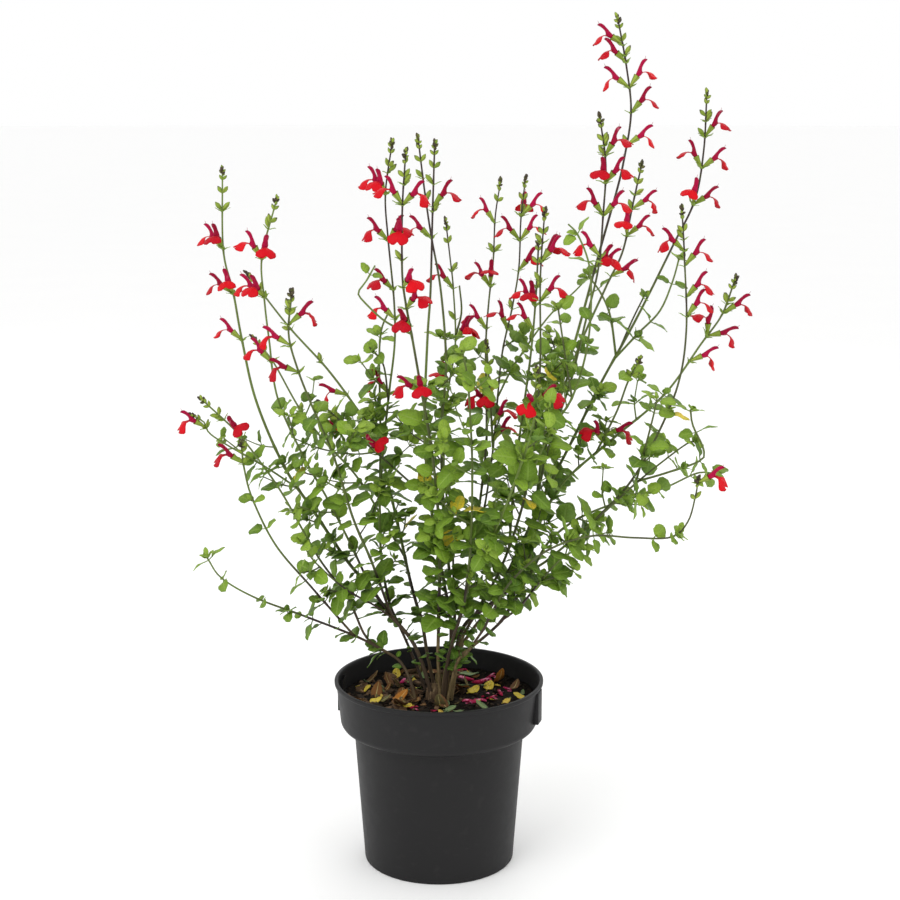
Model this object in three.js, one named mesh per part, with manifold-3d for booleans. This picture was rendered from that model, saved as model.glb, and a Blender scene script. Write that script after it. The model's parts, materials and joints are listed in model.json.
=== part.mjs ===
import * as THREE from 'three';
import { mergeVertices } from 'three/addons/utils/BufferGeometryUtils.js';
import Module from 'manifold-3d';

// A small flowering sage shrub in a round nursery pot.
// Millimetres. The origin is the middle of the pot's foot, +Z is up, and the viewer is at -Y.

const wasm = await Module();
wasm.setup();

// Driving dimensions of the pot
const POT_HEIGHT = 182;
const RIM_RADIUS = 100;
const RIM_LIP = 1.2;
const COLLAR_HEIGHT = 46;
const COLLAR_FOOT_RADIUS = 95.5;
const BODY_TOP_RADIUS = 82.5;
const FOOT_RADIUS = 73;
const FOOT_ROUND = 3;
const WALL = 2;
const FLOOR = 3.2;
const ROUND_STEPS = 24;
const DRAIN_SLOTS = 8;
const DRAIN_SIZE = [9, 9, 7];
const LUG_ANGLES = [-16, 92, 172];
const LUG_SIZE = [7, 18, 32];

// Driving dimensions of the soil and of what has fallen on it
const SOIL_LEVEL = 160;
const SOIL_RELIEF = 1.6;
const SOIL_CLEARANCE = 0.4;
const CHIP_COUNT = 7;
const CHIP_SIZE = [15, 7, 4];
const SEAT_GAP = 0.3;
const SEAT_STEP = 0.1;
const KNOB_PLACE = [-4, 5, 160];
const KNOB_SIZE = [10, 6.5, 15];
const KNOB_TURN = 29;

// Driving dimensions of the plant's repeated forms
const STEM_HOLE_GAP = 0.6;
const KEEP_CLEAR = 0.4;
const ROUTE_SLACK = 0.9;
const RING_STEP = 12;
const RING_CLEAR = 3;
const NODE_SPAN = 9;
const ROOT_DEPTH = 0.75;
const LEAF_PETIOLE = 0.33;
const PETIOLE_WIDTH = 2.2;
const LEAF_THICKNESS = 1.6;
const LEAF_FOLD = 0.2;
const SMALL_LEAF = 16.5;
const TIP_BUD_LENGTH = 8;
const TIP_BUD_RADIUS = 2;
const CALYX_LENGTH = 13;
const CALYX_RADIUS = 2.9;
const THROAT_AT = 18;
const THROAT_RADIUS = 2.1;
const HOOD_LENGTH = 13;
const LIP_LENGTH = 15.5;
const LIP_WIDTH = 18;
const LIP_THICKNESS = 1.4;
const BUD_LENGTH = 12;
const BUD_RADIUS = 2.4;
const SEED = 20817;

// Fallen pieces on the soil: kind, place across and away, turn, length
const FALLEN = {
  fallen_corolla_far: ['corolla', 44, 46, 25, 31],
  fallen_corolla_near: ['corolla', 38, -7, -15, 27],
  fallen_corolla_left: ['corolla', -36, 38, 70, 20],
  fallen_leaf_right: ['leaf', 35, 20, 40, 15],
  fallen_leaf_edge: ['leaf', 77, 3, 160, 13],
  fallen_leaf_left: ['leaf', -60, -12, 15, 14],
};

// The shoots of each stem: name, shoot that it forks from, radius at foot and tip, route,
// leaf pairs (from and to as shares of the route, pairs, first and last blade length),
// flowers and closed buds (height on the shoot, compass angle: 0 right, 90 away, 180 left).
const STEMS = {
  stem_left_low: [
    ['a1', null, 2.2, 0.85,
      [[-19, -10, 140], [-26, -7, 175], [-36, 0, 196], [-50, 1, 207], [-80, -4, 225], [-128, -14, 248],
        [-174, -26, 270], [-204, -36, 292], [-216, -42, 313]],
      [0.3, 0.99, 3, 14, 12], [], []],
    ['a2', 'a1', 1.3, 0.85,
      [[-82, -4, 227], [-120, -24, 279], [-152, -38, 324], [-171, -54, 372], [-177, -63, 403],
        [-178, -70, 424]],
      [0.2, 0.75, 2, 15, 12], [[408, 185]], [[420, 30]]],
    ['a3', 'a1', 1.4, 0.85,
      [[-60, 0, 212], [-72, -1, 226], [-88, -3, 264], [-115, -8, 305], [-146, -15, 366],
        [-166, -18, 398], [-188, -20, 428], [-217, -22, 457]],
      [0.15, 0.7, 3, 16, 13], [[424, -60]], [[441, 150]]],
  ],
  stem_left: [
    ['b1', null, 3, 0.85,
      [[-8, -1, 140], [-13, 0, 164], [-28, 6, 212], [-45, 10, 238], [-66, 14, 268], [-88, 18, 293],
        [-122, 26, 343], [-150, 31, 386], [-176, 38, 448], [-189, 44, 506], [-197, 49, 552],
        [-206, 53, 592], [-206, 60, 664]],
      [0.2, 0.5, 3, 18, 15],
      [[593, 195], [593, 250], [551, 190], [551, 262], [507, 185]],
      [[629, 160], [629, 20]]],
    ['b2', 'b1', 1.6, 0.85,
      [[-66, 14, 268], [-84, 2, 314], [-106, -8, 363], [-128, -16, 407], [-149, -26, 462],
        [-155, -33, 517], [-158, -38, 554], [-159, -43, 593], [-145, -50, 642]],
      [0.1, 0.5, 2, 17, 14], [[592, 200], [592, 285], [557, 240], [557, 180], [496, 188]], [[620, 150]]],
    ['b3', 'b1', 1.5, 0.85,
      [[-45, 10, 238], [-63, -14, 300], [-80, -32, 349], [-96, -52, 412], [-115, -72, 466],
        [-125, -86, 499], [-131, -97, 530], [-127, -110, 565]],
      [0.12, 0.65, 3, 18, 14], [[540, 15], [520, 185], [495, 195]], [[554, 160]]],
    ['b4', 'b1', 1.3, 0.85,
      [[-45, 10, 238], [-60, -8, 256], [-88, -28, 279], [-115, -46, 310], [-126, -58, 332]],
      [0.4, 0.98, 2, 16, 12], [], []],
    ['b5', 'b1', 1.3, 0.85,
      [[-134, 28, 366], [-166, 8, 390], [-198, -4, 412], [-215, -12, 426], [-219, -16, 437],
        [-227, -20, 443]],
      [0.2, 0.6, 1, 13, 12], [[432, 200]], []],
  ],
  stem_back_left: [
    ['c1', null, 2.2, 0.85,
      [[-6, 17, 140], [-8, 19, 164], [-15, 27, 198], [-19, 34, 232], [-29, 43, 270], [-44, 59, 335],
        [-62, 75, 403], [-84, 84, 436], [-112, 94, 472], [-150, 106, 512], [-189, 120, 560]],
      [0.2, 0.6, 3, 19, 16], [[446, 185]], [[509, 150], [478, 20]]],
    ['c2', 'c1', 1.3, 0.85,
      [[-33, 48, 290], [-79, 80, 360], [-114, 100, 395], [-142, 118, 428], [-169, 139, 471],
        [-188, 150, 492]],
      [0.3, 0.6, 2, 15, 13], [], [[424, 100], [424, 20], [404, 180]]],
  ],
  stem_inner_left: [
    ['d1', null, 2.1, 0.85,
      [[-20, 30, 140], [-24, 30, 164], [-35, 30, 198], [-46, 29, 238], [-55, 25, 286], [-57, 18, 342],
        [-53, 10, 404], [-47, 4, 459], [-41, -2, 508], [-41, -8, 549], [-46, -14, 608],
        [-48, -18, 648], [-42, -24, 691]],
      [0.2, 0.55, 3, 19, 16],
      [[649, 190], [649, 240], [606, 205], [606, -30], [561, 220], [533, 195], [461, 190]],
      [[668, 20]]],
    ['d2', 'd1', 1.3, 0.85,
      [[-57, 18, 342], [-56, 24, 420], [-56, 28, 507], [-47, 31, 537]],
      [0.2, 0.85, 2, 16, 12], [], []],
    ['d3', 'd1', 1.3, 0.85,
      [[-47, 5, 455], [-51, -20, 492], [-63, -34, 510]],
      [0.7, 0.98, 1, 14, 12], [], []],
  ],
  stem_front_middle: [
    ['e1', null, 2.6, 0.85,
      [[2, -6, 140], [1, -7, 164], [-1, -11, 205], [0, -19, 246], [1, -32, 308], [-1, -45, 369],
        [-7, -58, 426], [-15, -69, 476], [-22, -79, 520], [-30, -92, 570], [-31, -100, 604],
        [-30, -110, 645], [-27, -120, 685]],
      [0.2, 0.55, 4, 20, 17],
      [[644, 190], [644, -20], [615, 262], [572, 300], [552, 325], [536, 250], [475, 205], [475, 272]],
      [[662, 20], [596, 160]]],
    ['e2', 'e1', 1.3, 0.85,
      [[-23, -81, 528], [-46, -92, 541], [-65, -100, 560], [-69, -104, 568], [-62, -108, 578],
        [-54, -112, 592]],
      [0.85, 0.95, 1, 8, 8], [], []],
  ],
  stem_middle: [
    ['f1', null, 2.5, 0.85,
      [[8, -3, 140], [9, -4, 164], [12, -6, 201], [13, -8, 224], [10, -10, 253], [1, -13, 303],
        [-8, -17, 363], [-13, -22, 431], [-10, -28, 516], [-7, -31, 561], [-5, -36, 630], [-3, -40, 690]],
      [0.2, 0.6, 3, 19, 15], [[639, -10]], [[659, 170], [634, 30]]],
    ['f2', 'f1', 1.3, 0.85,
      [[-8, -17, 363], [-42, -14, 393], [-62, -18, 412], [-85, -24, 434], [-106, -30, 455]],
      [0.3, 0.9, 2, 17, 13], [[407, -40], [432, 150]], []],
  ],
  stem_middle_back: [
    ['g1', null, 2.2, 0.85,
      [[11, 9, 140], [12, 9, 164], [16, 10, 232], [11, 15, 276], [4, 23, 354], [3, 31, 426],
        [7, 37, 486], [2, 45, 554], [-7, 50, 605], [-13, 55, 645], [-19, 60, 693]],
      [0.2, 0.55, 3, 19, 15], [[604, 190]], [[639, 10], [660, 170]]],
    ['g2', 'g1', 1.5, 0.85,
      [[14, 13, 254], [13, 34, 311], [5, 51, 377], [8, 68, 445], [16, 81, 497], [14, 95, 551],
        [11, 102, 579], [7, 110, 612]],
      [0.12, 0.5, 2, 18, 15], [[551, 190], [502, -15], [502, -50], [455, 230]], [[568, 20], [521, 170]]],
    ['g3', 'g2', 1.3, 0.85,
      [[16, 84, 505], [22, 78, 529], [20, 70, 556]],
      null, [], []],
  ],
  stem_back: [
    ['h1', null, 2.2, 0.85,
      [[4, 24, 140], [5, 25, 164], [11, 30, 194], [23, 44, 238], [31, 59, 284], [41, 80, 341],
        [48, 105, 407], [47, 132, 484], [50, 148, 529], [55, 164, 573], [57, 178, 614], [62, 190, 647]],
      [0.25, 0.6, 3, 18, 15], [[610, 190], [547, 182], [547, 262], [506, 190]], [[582, 10], [582, 170]]],
    ['h2', 'h1', 1.5, 0.85,
      [[24, 46, 244], [33, 48, 292], [43, 52, 330], [53, 58, 397], [61, 70, 484], [71, 78, 531],
        [78, 86, 571], [80, 94, 618], [84, 100, 654]],
      [0.12, 0.5, 2, 17, 14],
      [[622, -10], [622, 80], [598, 195], [598, -20], [569, -40], [513, 200]],
      [[533, 150]]],
    ['h3', 'h2', 1.3, 0.85,
      [[53, 58, 397], [50, 47, 445], [48, 40, 473], [46, 36, 500]],
      null, [[446, 205], [446, 255], [422, 10], [406, 20]], []],
    ['h4', 'h2', 1.3, 0.85,
      [[57, 64, 448], [74, 78, 477], [108, 104, 521], [140, 125, 549], [162, 140, 573]],
      null, [], [[528, 60], [501, 200]]],
  ],
  stem_right_inner: [
    ['i1', null, 2.2, 0.85,
      [[17, 0, 140], [18, 1, 164], [24, 0, 215], [36, -6, 249], [57, -12, 290], [73, -16, 335],
        [84, -20, 381], [91, -24, 439], [94, -28, 496], [93, -32, 562], [94, -35, 599], [96, -38, 631]],
      [0.25, 0.6, 3, 18, 15], [[589, -10], [589, 40], [553, -15]], [[570, 150], [605, 170]]],
    ['i2', 'i1', 1.4, 0.85,
      [[66, -14, 316], [72, 0, 378], [79, 12, 434], [87, 24, 490], [92, 34, 542], [95, 44, 598]],
      [0.15, 0.55, 2, 16, 14], [[541, 200], [541, 250], [518, 190]], [[558, 20]]],
    ['i3', 'i1', 1.3, 0.85,
      [[84, -20, 381], [104, -34, 432], [122, -48, 465], [133, -62, 507], [136, -76, 548],
        [133, -90, 589], [122, -100, 617], [113, -106, 627]],
      [0.15, 0.95, 3, 16, 11], [], []],
    ['i4', 'i3', 1.3, 0.85,
      [[122, -48, 465], [116, -46, 502], [109, -42, 547]],
      [0.4, 0.98, 2, 14, 11], [], []],
  ],
  stem_right_tall: [
    ['j1', null, 2.6, 0.85,
      [[20, 10, 140], [20, 10, 164], [21, 11, 210], [27, 12, 232], [43, 13, 247], [64, 14, 263],
        [80, 16, 281], [90, 18, 304], [94, 20, 347], [101, 22, 410], [115, 24, 458], [131, 25, 513],
        [152, 27, 594], [166, 28, 646], [173, 29, 677], [179, 30, 721], [174, 31, 763], [166, 32, 803]],
      [0.22, 0.45, 3, 18, 15],
      [[783, 190], [767, 200], [744, 180], [744, 0], [721, -10], [692, -10], [579, -25], [579, -60]],
      [[773, 10], [692, 170]]],
    ['j2', 'j1', 1.5, 0.85,
      [[95, 20, 361], [107, 4, 419], [123, -8, 472], [136, -20, 533], [146, -29, 582], [149, -37, 633],
        [150, -43, 675], [144, -50, 714]],
      [0.1, 0.35, 2, 16, 14],
      [[684, -20], [660, -30], [660, 250], [631, 190], [631, -20], [593, 190]],
      [[684, 160], [693, 20]]],
    ['j3', 'j1', 1.5, 0.85,
      [[96, 20, 370], [108, 34, 423], [134, 54, 494], [162, 72, 554], [179, 84, 588], [189, 97, 631],
        [198, 110, 668]],
      [0.15, 0.4, 2, 16, 14], [[629, -10], [603, 250], [603, -20], [565, -30]], [[629, 160], [642, 10]]],
    ['j4', 'j1', 1.6, 0.85,
      [[92, 19, 320], [118, 14, 371], [166, 8, 417], [213, 4, 460], [246, 0, 509], [264, -2, 536],
        [274, -4, 566]],
      [0.12, 0.6, 3, 16, 13], [[538, 0], [516, 190], [516, -10], [492, 0]], [[547, 170]]],
    ['j5', 'j4', 1.3, 0.85,
      [[150, 10, 403], [167, -10, 446], [175, -26, 476], [183, -38, 497]],
      [0.7, 0.98, 1, 13, 11], [[415, 200], [422, -15]], []],
  ],
  stem_right_back: [
    ['k1', null, 2.4, 0.85,
      [[18, 21, 140], [19, 21, 164], [24, 23, 200], [36, 26, 222], [49, 29, 241], [65, 34, 273],
        [84, 40, 312], [103, 46, 353], [132, 56, 409], [158, 64, 461], [193, 74, 524], [228, 84, 594],
        [249, 90, 638], [257, 96, 685], [259, 100, 735]],
      [0.22, 0.5, 3, 17, 14],
      [[698, -30], [668, 182], [668, -2], [633, 240], [633, -10]],
      [[698, 170], [713, 10]]],
    ['k2', 'k1', 1.3, 0.85,
      [[171, 68, 484], [192, 54, 511], [212, 47, 534], [223, 44, 562], [229, 44, 585]],
      [0.25, 0.98, 2, 15, 11], [], []],
    ['k3', 'k1', 1.3, 0.85,
      [[173, 68, 488], [168, 80, 524], [160, 96, 545], [148, 108, 562]],
      [0.35, 0.98, 2, 14, 11], [], []],
    ['k4', 'k1', 1.3, 0.85,
      [[176, 69, 494], [187, 58, 524], [200, 56, 552]],
      [0.8, 0.98, 1, 11, 10], [], []],
  ],
  stem_right_front: [
    ['l1', null, 2.5, 0.85,
      [[20, -10, 140], [20, -11, 164], [24, -13, 203], [35, -17, 216], [53, -22, 236], [74, -28, 271],
        [88, -32, 297], [104, -37, 311], [144, -46, 349], [184, -57, 390], [222, -67, 424],
        [233, -70, 430]],
      [0.35, 0.98, 3, 17, 13], [], []],
    ['l2', 'l1', 1.6, 0.85,
      [[144, -46, 349], [176, -42, 383], [199, -40, 423], [220, -37, 475], [227, -34, 526],
        [224, -32, 590], [221, -30, 632]],
      [0.1, 0.4, 2, 16, 13], [[598, 200], [585, -10], [557, -20], [539, -10]], [[609, 170]]],
    ['l3', 'l1', 1.3, 0.85,
      [[184, -57, 390], [207, -70, 400], [236, -79, 413], [239, -81, 424], [228, -86, 447],
        [225, -90, 462]],
      [0.35, 0.98, 2, 14, 11], [], []],
    ['l4', 'l1', 1.3, 0.85,
      [[181, -56, 387], [187, -72, 422], [192, -83, 451], [195, -90, 471]],
      [0.3, 0.98, 2, 15, 11], [], []],
    ['l5', 'l1', 1.4, 0.85,
      [[88, -32, 297], [104, -18, 322], [132, 0, 340], [172, 16, 353], [216, 30, 363], [251, 42, 376],
        [268, 46, 375]],
      [0.25, 0.98, 3, 17, 14], [], []],
    ['l6', 'l1', 1.3, 0.85,
      [[60, -24, 247], [77, -34, 264], [96, -44, 292], [114, -50, 314], [130, -56, 326]],
      [0.5, 0.98, 2, 19, 16], [], []],
  ],
  stem_low_curved: [
    ['n1', null, 2, 0.85,
      [[13, -21, 140], [14, -22, 164], [22, -28, 205], [32, -36, 218], [50, -50, 262], [68, -60, 296],
        [100, -72, 328], [139, -82, 344], [176, -92, 345], [209, -102, 348], [223, -108, 364],
        [228, -116, 390], [229, -120, 402]],
      [0.35, 0.85, 3, 17, 13], [[402, -25]], []],
  ],
  stem_front: [
    ['m1', null, 2, 0.85,
      [[3, -20, 140], [4, -21, 164], [14, -26, 225], [22, -32, 258], [33, -42, 303], [48, -58, 334],
        [61, -77, 370], [71, -97, 404], [82, -124, 448], [84, -140, 475], [84, -160, 506]],
      [0.28, 0.75, 3, 20, 16], [[478, 250], [478, -25]], []],
    ['m2', 'm1', 1.3, 0.85,
      [[24, -34, 268], [30, -54, 330], [31, -72, 403], [29, -88, 452], [26, -101, 494], [21, -110, 518]],
      [0.25, 0.98, 3, 19, 13], [], []],
  ],
};

// A closed body from lists of points and triangles
function bodyFrom(points, triangles) {
  const mesh = new wasm.Mesh({
    numProp: 3,
    vertProperties: Float32Array.from(points.flatMap((point) => [point.x, point.y, point.z])),
    triVerts: Uint32Array.from(triangles.flat()),
  });
  return new wasm.Manifold(mesh);
}

function bodyFromGeometry(source) {
  const geometry = source.clone();
  geometry.deleteAttribute('normal');
  geometry.deleteAttribute('uv');
  const merged = mergeVertices(geometry, 1e-4);
  const place = merged.getAttribute('position');
  const pointAt = (_, i) => new THREE.Vector3().fromBufferAttribute(place, i);
  const points = Array.from({ length: place.count }, pointAt);
  const corners = Array.from(merged.getIndex().array);
  const triangles = [];
  for (let i = 0; i < corners.length; i += 3) {
    const [a, b, c] = corners.slice(i, i + 3);
    if (a !== b && b !== c && c !== a) triangles.push([a, b, c]);
  }
  return bodyFrom(points, triangles);
}

function geometryFrom(body) {
  const mesh = body.getMesh();
  const geometry = new THREE.BufferGeometry();
  geometry.setAttribute('position', new THREE.BufferAttribute(new Float32Array(mesh.vertProperties), 3));
  geometry.setIndex(Array.from(mesh.triVerts));
  return geometry;
}

function makeRandom(seed) {
  let state = seed;
  return (low, high) => {
    state = (state * 1664525 + 1013904223) % 4294967296;
    return low + ((high - low) * state) / 4294967296;
  };
}

// Pot: one moulded wall with a deep collar, a rolled lip, lugs on the collar and slots in the foot
function innerBodyRadius(height) {
  const share = (height - FLOOR) / (POT_HEIGHT - COLLAR_HEIGHT - FLOOR);
  return FOOT_RADIUS + (BODY_TOP_RADIUS - FOOT_RADIUS) * share - WALL;
}

function makePot() {
  const collarFoot = POT_HEIGHT - COLLAR_HEIGHT;
  const profile = [
    [0, 0],
    [FOOT_RADIUS - FOOT_ROUND, 0],
    [FOOT_RADIUS, FOOT_ROUND],
    [BODY_TOP_RADIUS, collarFoot - 4],
    [BODY_TOP_RADIUS + 2, collarFoot - 1],
    [COLLAR_FOOT_RADIUS - 2, collarFoot + 1],
    [COLLAR_FOOT_RADIUS, collarFoot + 4],
    [RIM_RADIUS - RIM_LIP, POT_HEIGHT - 4],
    [RIM_RADIUS, POT_HEIGHT - 3],
    [RIM_RADIUS, POT_HEIGHT],
    [RIM_RADIUS - WALL - RIM_LIP, POT_HEIGHT],
    [COLLAR_FOOT_RADIUS - WALL, collarFoot + 4],
    [BODY_TOP_RADIUS - WALL, collarFoot],
    [innerBodyRadius(FLOOR), FLOOR],
    [0, FLOOR],
    [0, 0],
  ];
  const outline = profile.map(([radius, height]) => new THREE.Vector2(radius, height));
  const wall = new THREE.LatheGeometry(outline, ROUND_STEPS).rotateX(Math.PI / 2);
  let pot = bodyFromGeometry(wall);
  for (const angle of LUG_ANGLES) {
    const lug = new THREE.BoxGeometry(...LUG_SIZE);
    lug.translate(RIM_RADIUS - LUG_SIZE[0] / 2 + 2, 0, POT_HEIGHT - 5 - LUG_SIZE[2] / 2);
    lug.rotateZ(THREE.MathUtils.degToRad(angle));
    pot = pot.add(bodyFromGeometry(lug));
  }
  for (let i = 0; i < DRAIN_SLOTS; i += 1) {
    const slot = new THREE.BoxGeometry(...DRAIN_SIZE);
    slot.translate(FOOT_RADIUS - 1, 0, 1);
    slot.rotateZ(((i + 0.5) * 2 * Math.PI) / DRAIN_SLOTS);
    pot = pot.subtract(bodyFromGeometry(slot));
  }
  return pot;
}

// Soil: fills the pot to a little under the rim, with a lumpy top and bark chips
function soilHeight(x, y) {
  const lumps = Math.sin(x / 9 + 1) * Math.cos(y / 11) + 0.6 * Math.sin((x + y) / 6);
  return SOIL_LEVEL + (SOIL_RELIEF * lumps) / 1.6;
}

function makeSoil() {
  const collarFoot = POT_HEIGHT - COLLAR_HEIGHT;
  const slope = (RIM_RADIUS - RIM_LIP - COLLAR_FOOT_RADIUS) / (COLLAR_HEIGHT - 4);
  const edge = COLLAR_FOOT_RADIUS - WALL - SOIL_CLEARANCE + slope * (SOIL_LEVEL - collarFoot - 4);
  const profile = [
    [edge, SOIL_LEVEL],
    [COLLAR_FOOT_RADIUS - WALL - SOIL_CLEARANCE, collarFoot + 4 + SOIL_CLEARANCE],
    [BODY_TOP_RADIUS - WALL - SOIL_CLEARANCE, collarFoot + SOIL_CLEARANCE],
    [innerBodyRadius(FLOOR) - SOIL_CLEARANCE, FLOOR + SOIL_CLEARANCE],
  ];
  const topRings = [0.7, 0.35];
  const rings = [...profile].reverse();
  const points = [new THREE.Vector3(0, 0, FLOOR + SOIL_CLEARANCE)];
  const addRing = (radius, heightAt) => {
    for (let i = 0; i < ROUND_STEPS; i += 1) {
      const turn = (i * 2 * Math.PI) / ROUND_STEPS;
      const x = radius * Math.sin(turn);
      const y = -radius * Math.cos(turn);
      points.push(new THREE.Vector3(x, y, heightAt(x, y)));
    }
  };
  for (const [radius, height] of rings) addRing(radius, () => height);
  for (const share of topRings) addRing(edge * share, soilHeight);
  points.push(new THREE.Vector3(0, 0, soilHeight(0, 0)));
  return bodyFrom(points, ringTriangles(ROUND_STEPS, rings.length + topRings.length));
}

// Triangles of a body whose points are a first pole, rings of equal count and a last pole
function ringTriangles(steps, rings) {
  const triangles = [];
  const last = 1 + steps * rings;
  for (let i = 0; i < steps; i += 1) {
    const j = (i + 1) % steps;
    triangles.push([0, 1 + j, 1 + i]);
    for (let ring = 0; ring < rings - 1; ring += 1) {
      const low = 1 + ring * steps;
      const high = low + steps;
      triangles.push([low + i, low + j, high + j], [low + i, high + j, high + i]);
    }
    triangles.push([last - steps + i, last - steps + j, last]);
  }
  return triangles;
}

function addChips(soil, random) {
  let chipped = soil;
  for (let i = 0; i < CHIP_COUNT; i += 1) {
    const angle = random(1.9, 5.4);
    const reach = random(42, 80);
    const x = reach * Math.cos(angle);
    const y = reach * Math.sin(angle);
    const chip = new THREE.BoxGeometry(...CHIP_SIZE);
    chip.rotateX(random(-0.3, 0.3)).rotateY(random(-0.25, 0.25)).rotateZ(random(0, Math.PI));
    chip.translate(x, y, soilHeight(x, y) + 0.4);
    chipped = chipped.add(bodyFromGeometry(chip));
  }
  return chipped;
}

// Shoots: a smooth route through hand-placed points, measured along its chords
function makeRoute(points) {
  const places = points.map((point) => new THREE.Vector3(...point));
  const curve = new THREE.CatmullRomCurve3(places, false, 'catmullrom', 0.5);
  const reach = [0];
  for (let i = 1; i < places.length; i += 1) reach.push(reach[i - 1] + places[i].distanceTo(places[i - 1]));
  const length = reach[reach.length - 1];
  const at = (distance) => {
    let i = 0;
    while (i < places.length - 2 && distance > reach[i + 1]) i += 1;
    const inside = (distance - reach[i]) / (reach[i + 1] - reach[i]);
    return curve.getPoint((i + Math.min(1, Math.max(0, inside))) / (places.length - 1));
  };
  const along = (distance) => {
    const before = at(Math.max(0, distance - 1));
    return at(Math.min(length, distance + 1)).sub(before).normalize();
  };
  return { length, at, along };
}

function distanceAtHeight(route, height) {
  let best = route.length;
  for (let distance = route.length; distance > 0; distance -= 1) {
    if (Math.abs(route.at(distance).z - height) < Math.abs(route.at(best).z - height)) best = distance;
    if (route.at(distance).z < height) break;
  }
  return best;
}

function distanceNearest(route, point) {
  let best = 0;
  for (let distance = 0; distance <= route.length; distance += 1) {
    if (route.at(distance).distanceTo(point) < route.at(best).distanceTo(point)) best = distance;
  }
  return best;
}

// Two directions square to a shoot: the first has no share along Y
function crossFrame(tangent) {
  const side = new THREE.Vector3(-tangent.z, 0, tangent.x).normalize();
  return [side, new THREE.Vector3().crossVectors(tangent, side)];
}

// Sections of a shoot: as few as hold its sides to the route, and none where something grows
function sectionDistances(route, marks) {
  const isFree = (distance) => marks.every((mark) => Math.abs(mark - distance) > RING_CLEAR);
  const bowsOut = (from, to) => {
    const line = new THREE.Line3(route.at(from), route.at(to));
    const nearest = new THREE.Vector3();
    for (let distance = from + 4; distance < to; distance += 4) {
      const point = route.at(distance);
      if (line.closestPointToPoint(point, true, nearest).distanceTo(point) > ROUTE_SLACK) return true;
    }
    return false;
  };
  const sections = [0];
  let from = 0;
  while (bowsOut(from, route.length)) {
    let next = from + RING_STEP;
    for (let distance = next; distance < route.length && !bowsOut(from, distance); distance += 2) {
      if (isFree(distance)) next = distance;
    }
    if (next > route.length - RING_STEP) break;
    sections.push(next);
    from = next;
  }
  sections.push(route.length);
  return sections;
}

// The straight-sided axis of a shoot's solid
function axisAt(route, sections, distance) {
  let i = 0;
  while (i < sections.length - 2 && distance > sections[i + 1]) i += 1;
  const share = (distance - sections[i]) / (sections[i + 1] - sections[i]);
  return route.at(sections[i]).lerp(route.at(sections[i + 1]), share);
}

function radiusAt(route, radii, distance) {
  return radii[0] + ((radii[1] - radii[0]) * distance) / route.length;
}

function shootBody(shoot, sections, grow) {
  const { route } = shoot;
  const rings = sections.map((distance) => [route.at(distance), route.along(distance),
    radiusAt(route, shoot.radii, distance)]);
  if (shoot.flowers.length + shoot.buds.length > 0) {
    const [tip, tangent] = rings[rings.length - 1];
    rings.push([tip.clone().addScaledVector(tangent, TIP_BUD_LENGTH / 2), tangent, TIP_BUD_RADIUS]);
    rings.push([tip.clone().addScaledVector(tangent, TIP_BUD_LENGTH), tangent, TIP_BUD_RADIUS / 3]);
  }
  const last = rings.length - 1;
  rings[0][0].addScaledVector(rings[0][1], -grow);
  rings[last][0].addScaledVector(rings[last][1], grow);
  const points = [];
  for (const [center, tangent, radius] of rings) {
    for (let i = 0; i < 4; i += 1) {
      const spoke = turnedOutward(tangent, shoot.twist + ((i + 0.5) * Math.PI) / 2);
      points.push(center.clone().addScaledVector(spoke, radius * 1.25 + grow));
    }
  }
  const triangles = [[0, 2, 1], [0, 3, 2]];
  for (let ring = 0; ring < last; ring += 1) {
    for (let i = 0; i < 4; i += 1) {
      const [a, b] = [ring * 4 + i, ring * 4 + ((i + 1) % 4)];
      triangles.push([a, b, b + 4], [a, b + 4, a + 4]);
    }
  }
  const end = last * 4;
  triangles.push([end, end + 1, end + 2], [end, end + 2, end + 3]);
  return bodyFrom(points, triangles);
}

// A frame at a point of a shoot, rooted behind its axis: outward, across and up
function placeOut(axis, tangent, outward, rise, sunk) {
  const out = outward.clone().multiplyScalar(Math.cos(rise)).addScaledVector(tangent, Math.sin(rise));
  const up = tangent.clone().addScaledVector(out, -tangent.dot(out)).normalize();
  const origin = axis.clone().addScaledVector(out, -sunk / Math.cos(rise));
  return { origin, out, up, across: new THREE.Vector3().crossVectors(up, out) };
}

function local(frame, x, y, z) {
  return frame.origin.clone().addScaledVector(frame.out, x).addScaledVector(frame.across, y)
    .addScaledVector(frame.up, z);
}

// Leaf: a folded, drooping blade with blunt teeth, on a short stalk sunk into its shoot
const LEAF_EDGE = [[0.03, 0.23], [0.3, 0.38], [0.52, 0.29], [0.7, 0.25]];
const SMALL_LEAF_EDGE = [[0.05, 0.27], [0.34, 0.38], [0.68, 0.25]];

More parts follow.
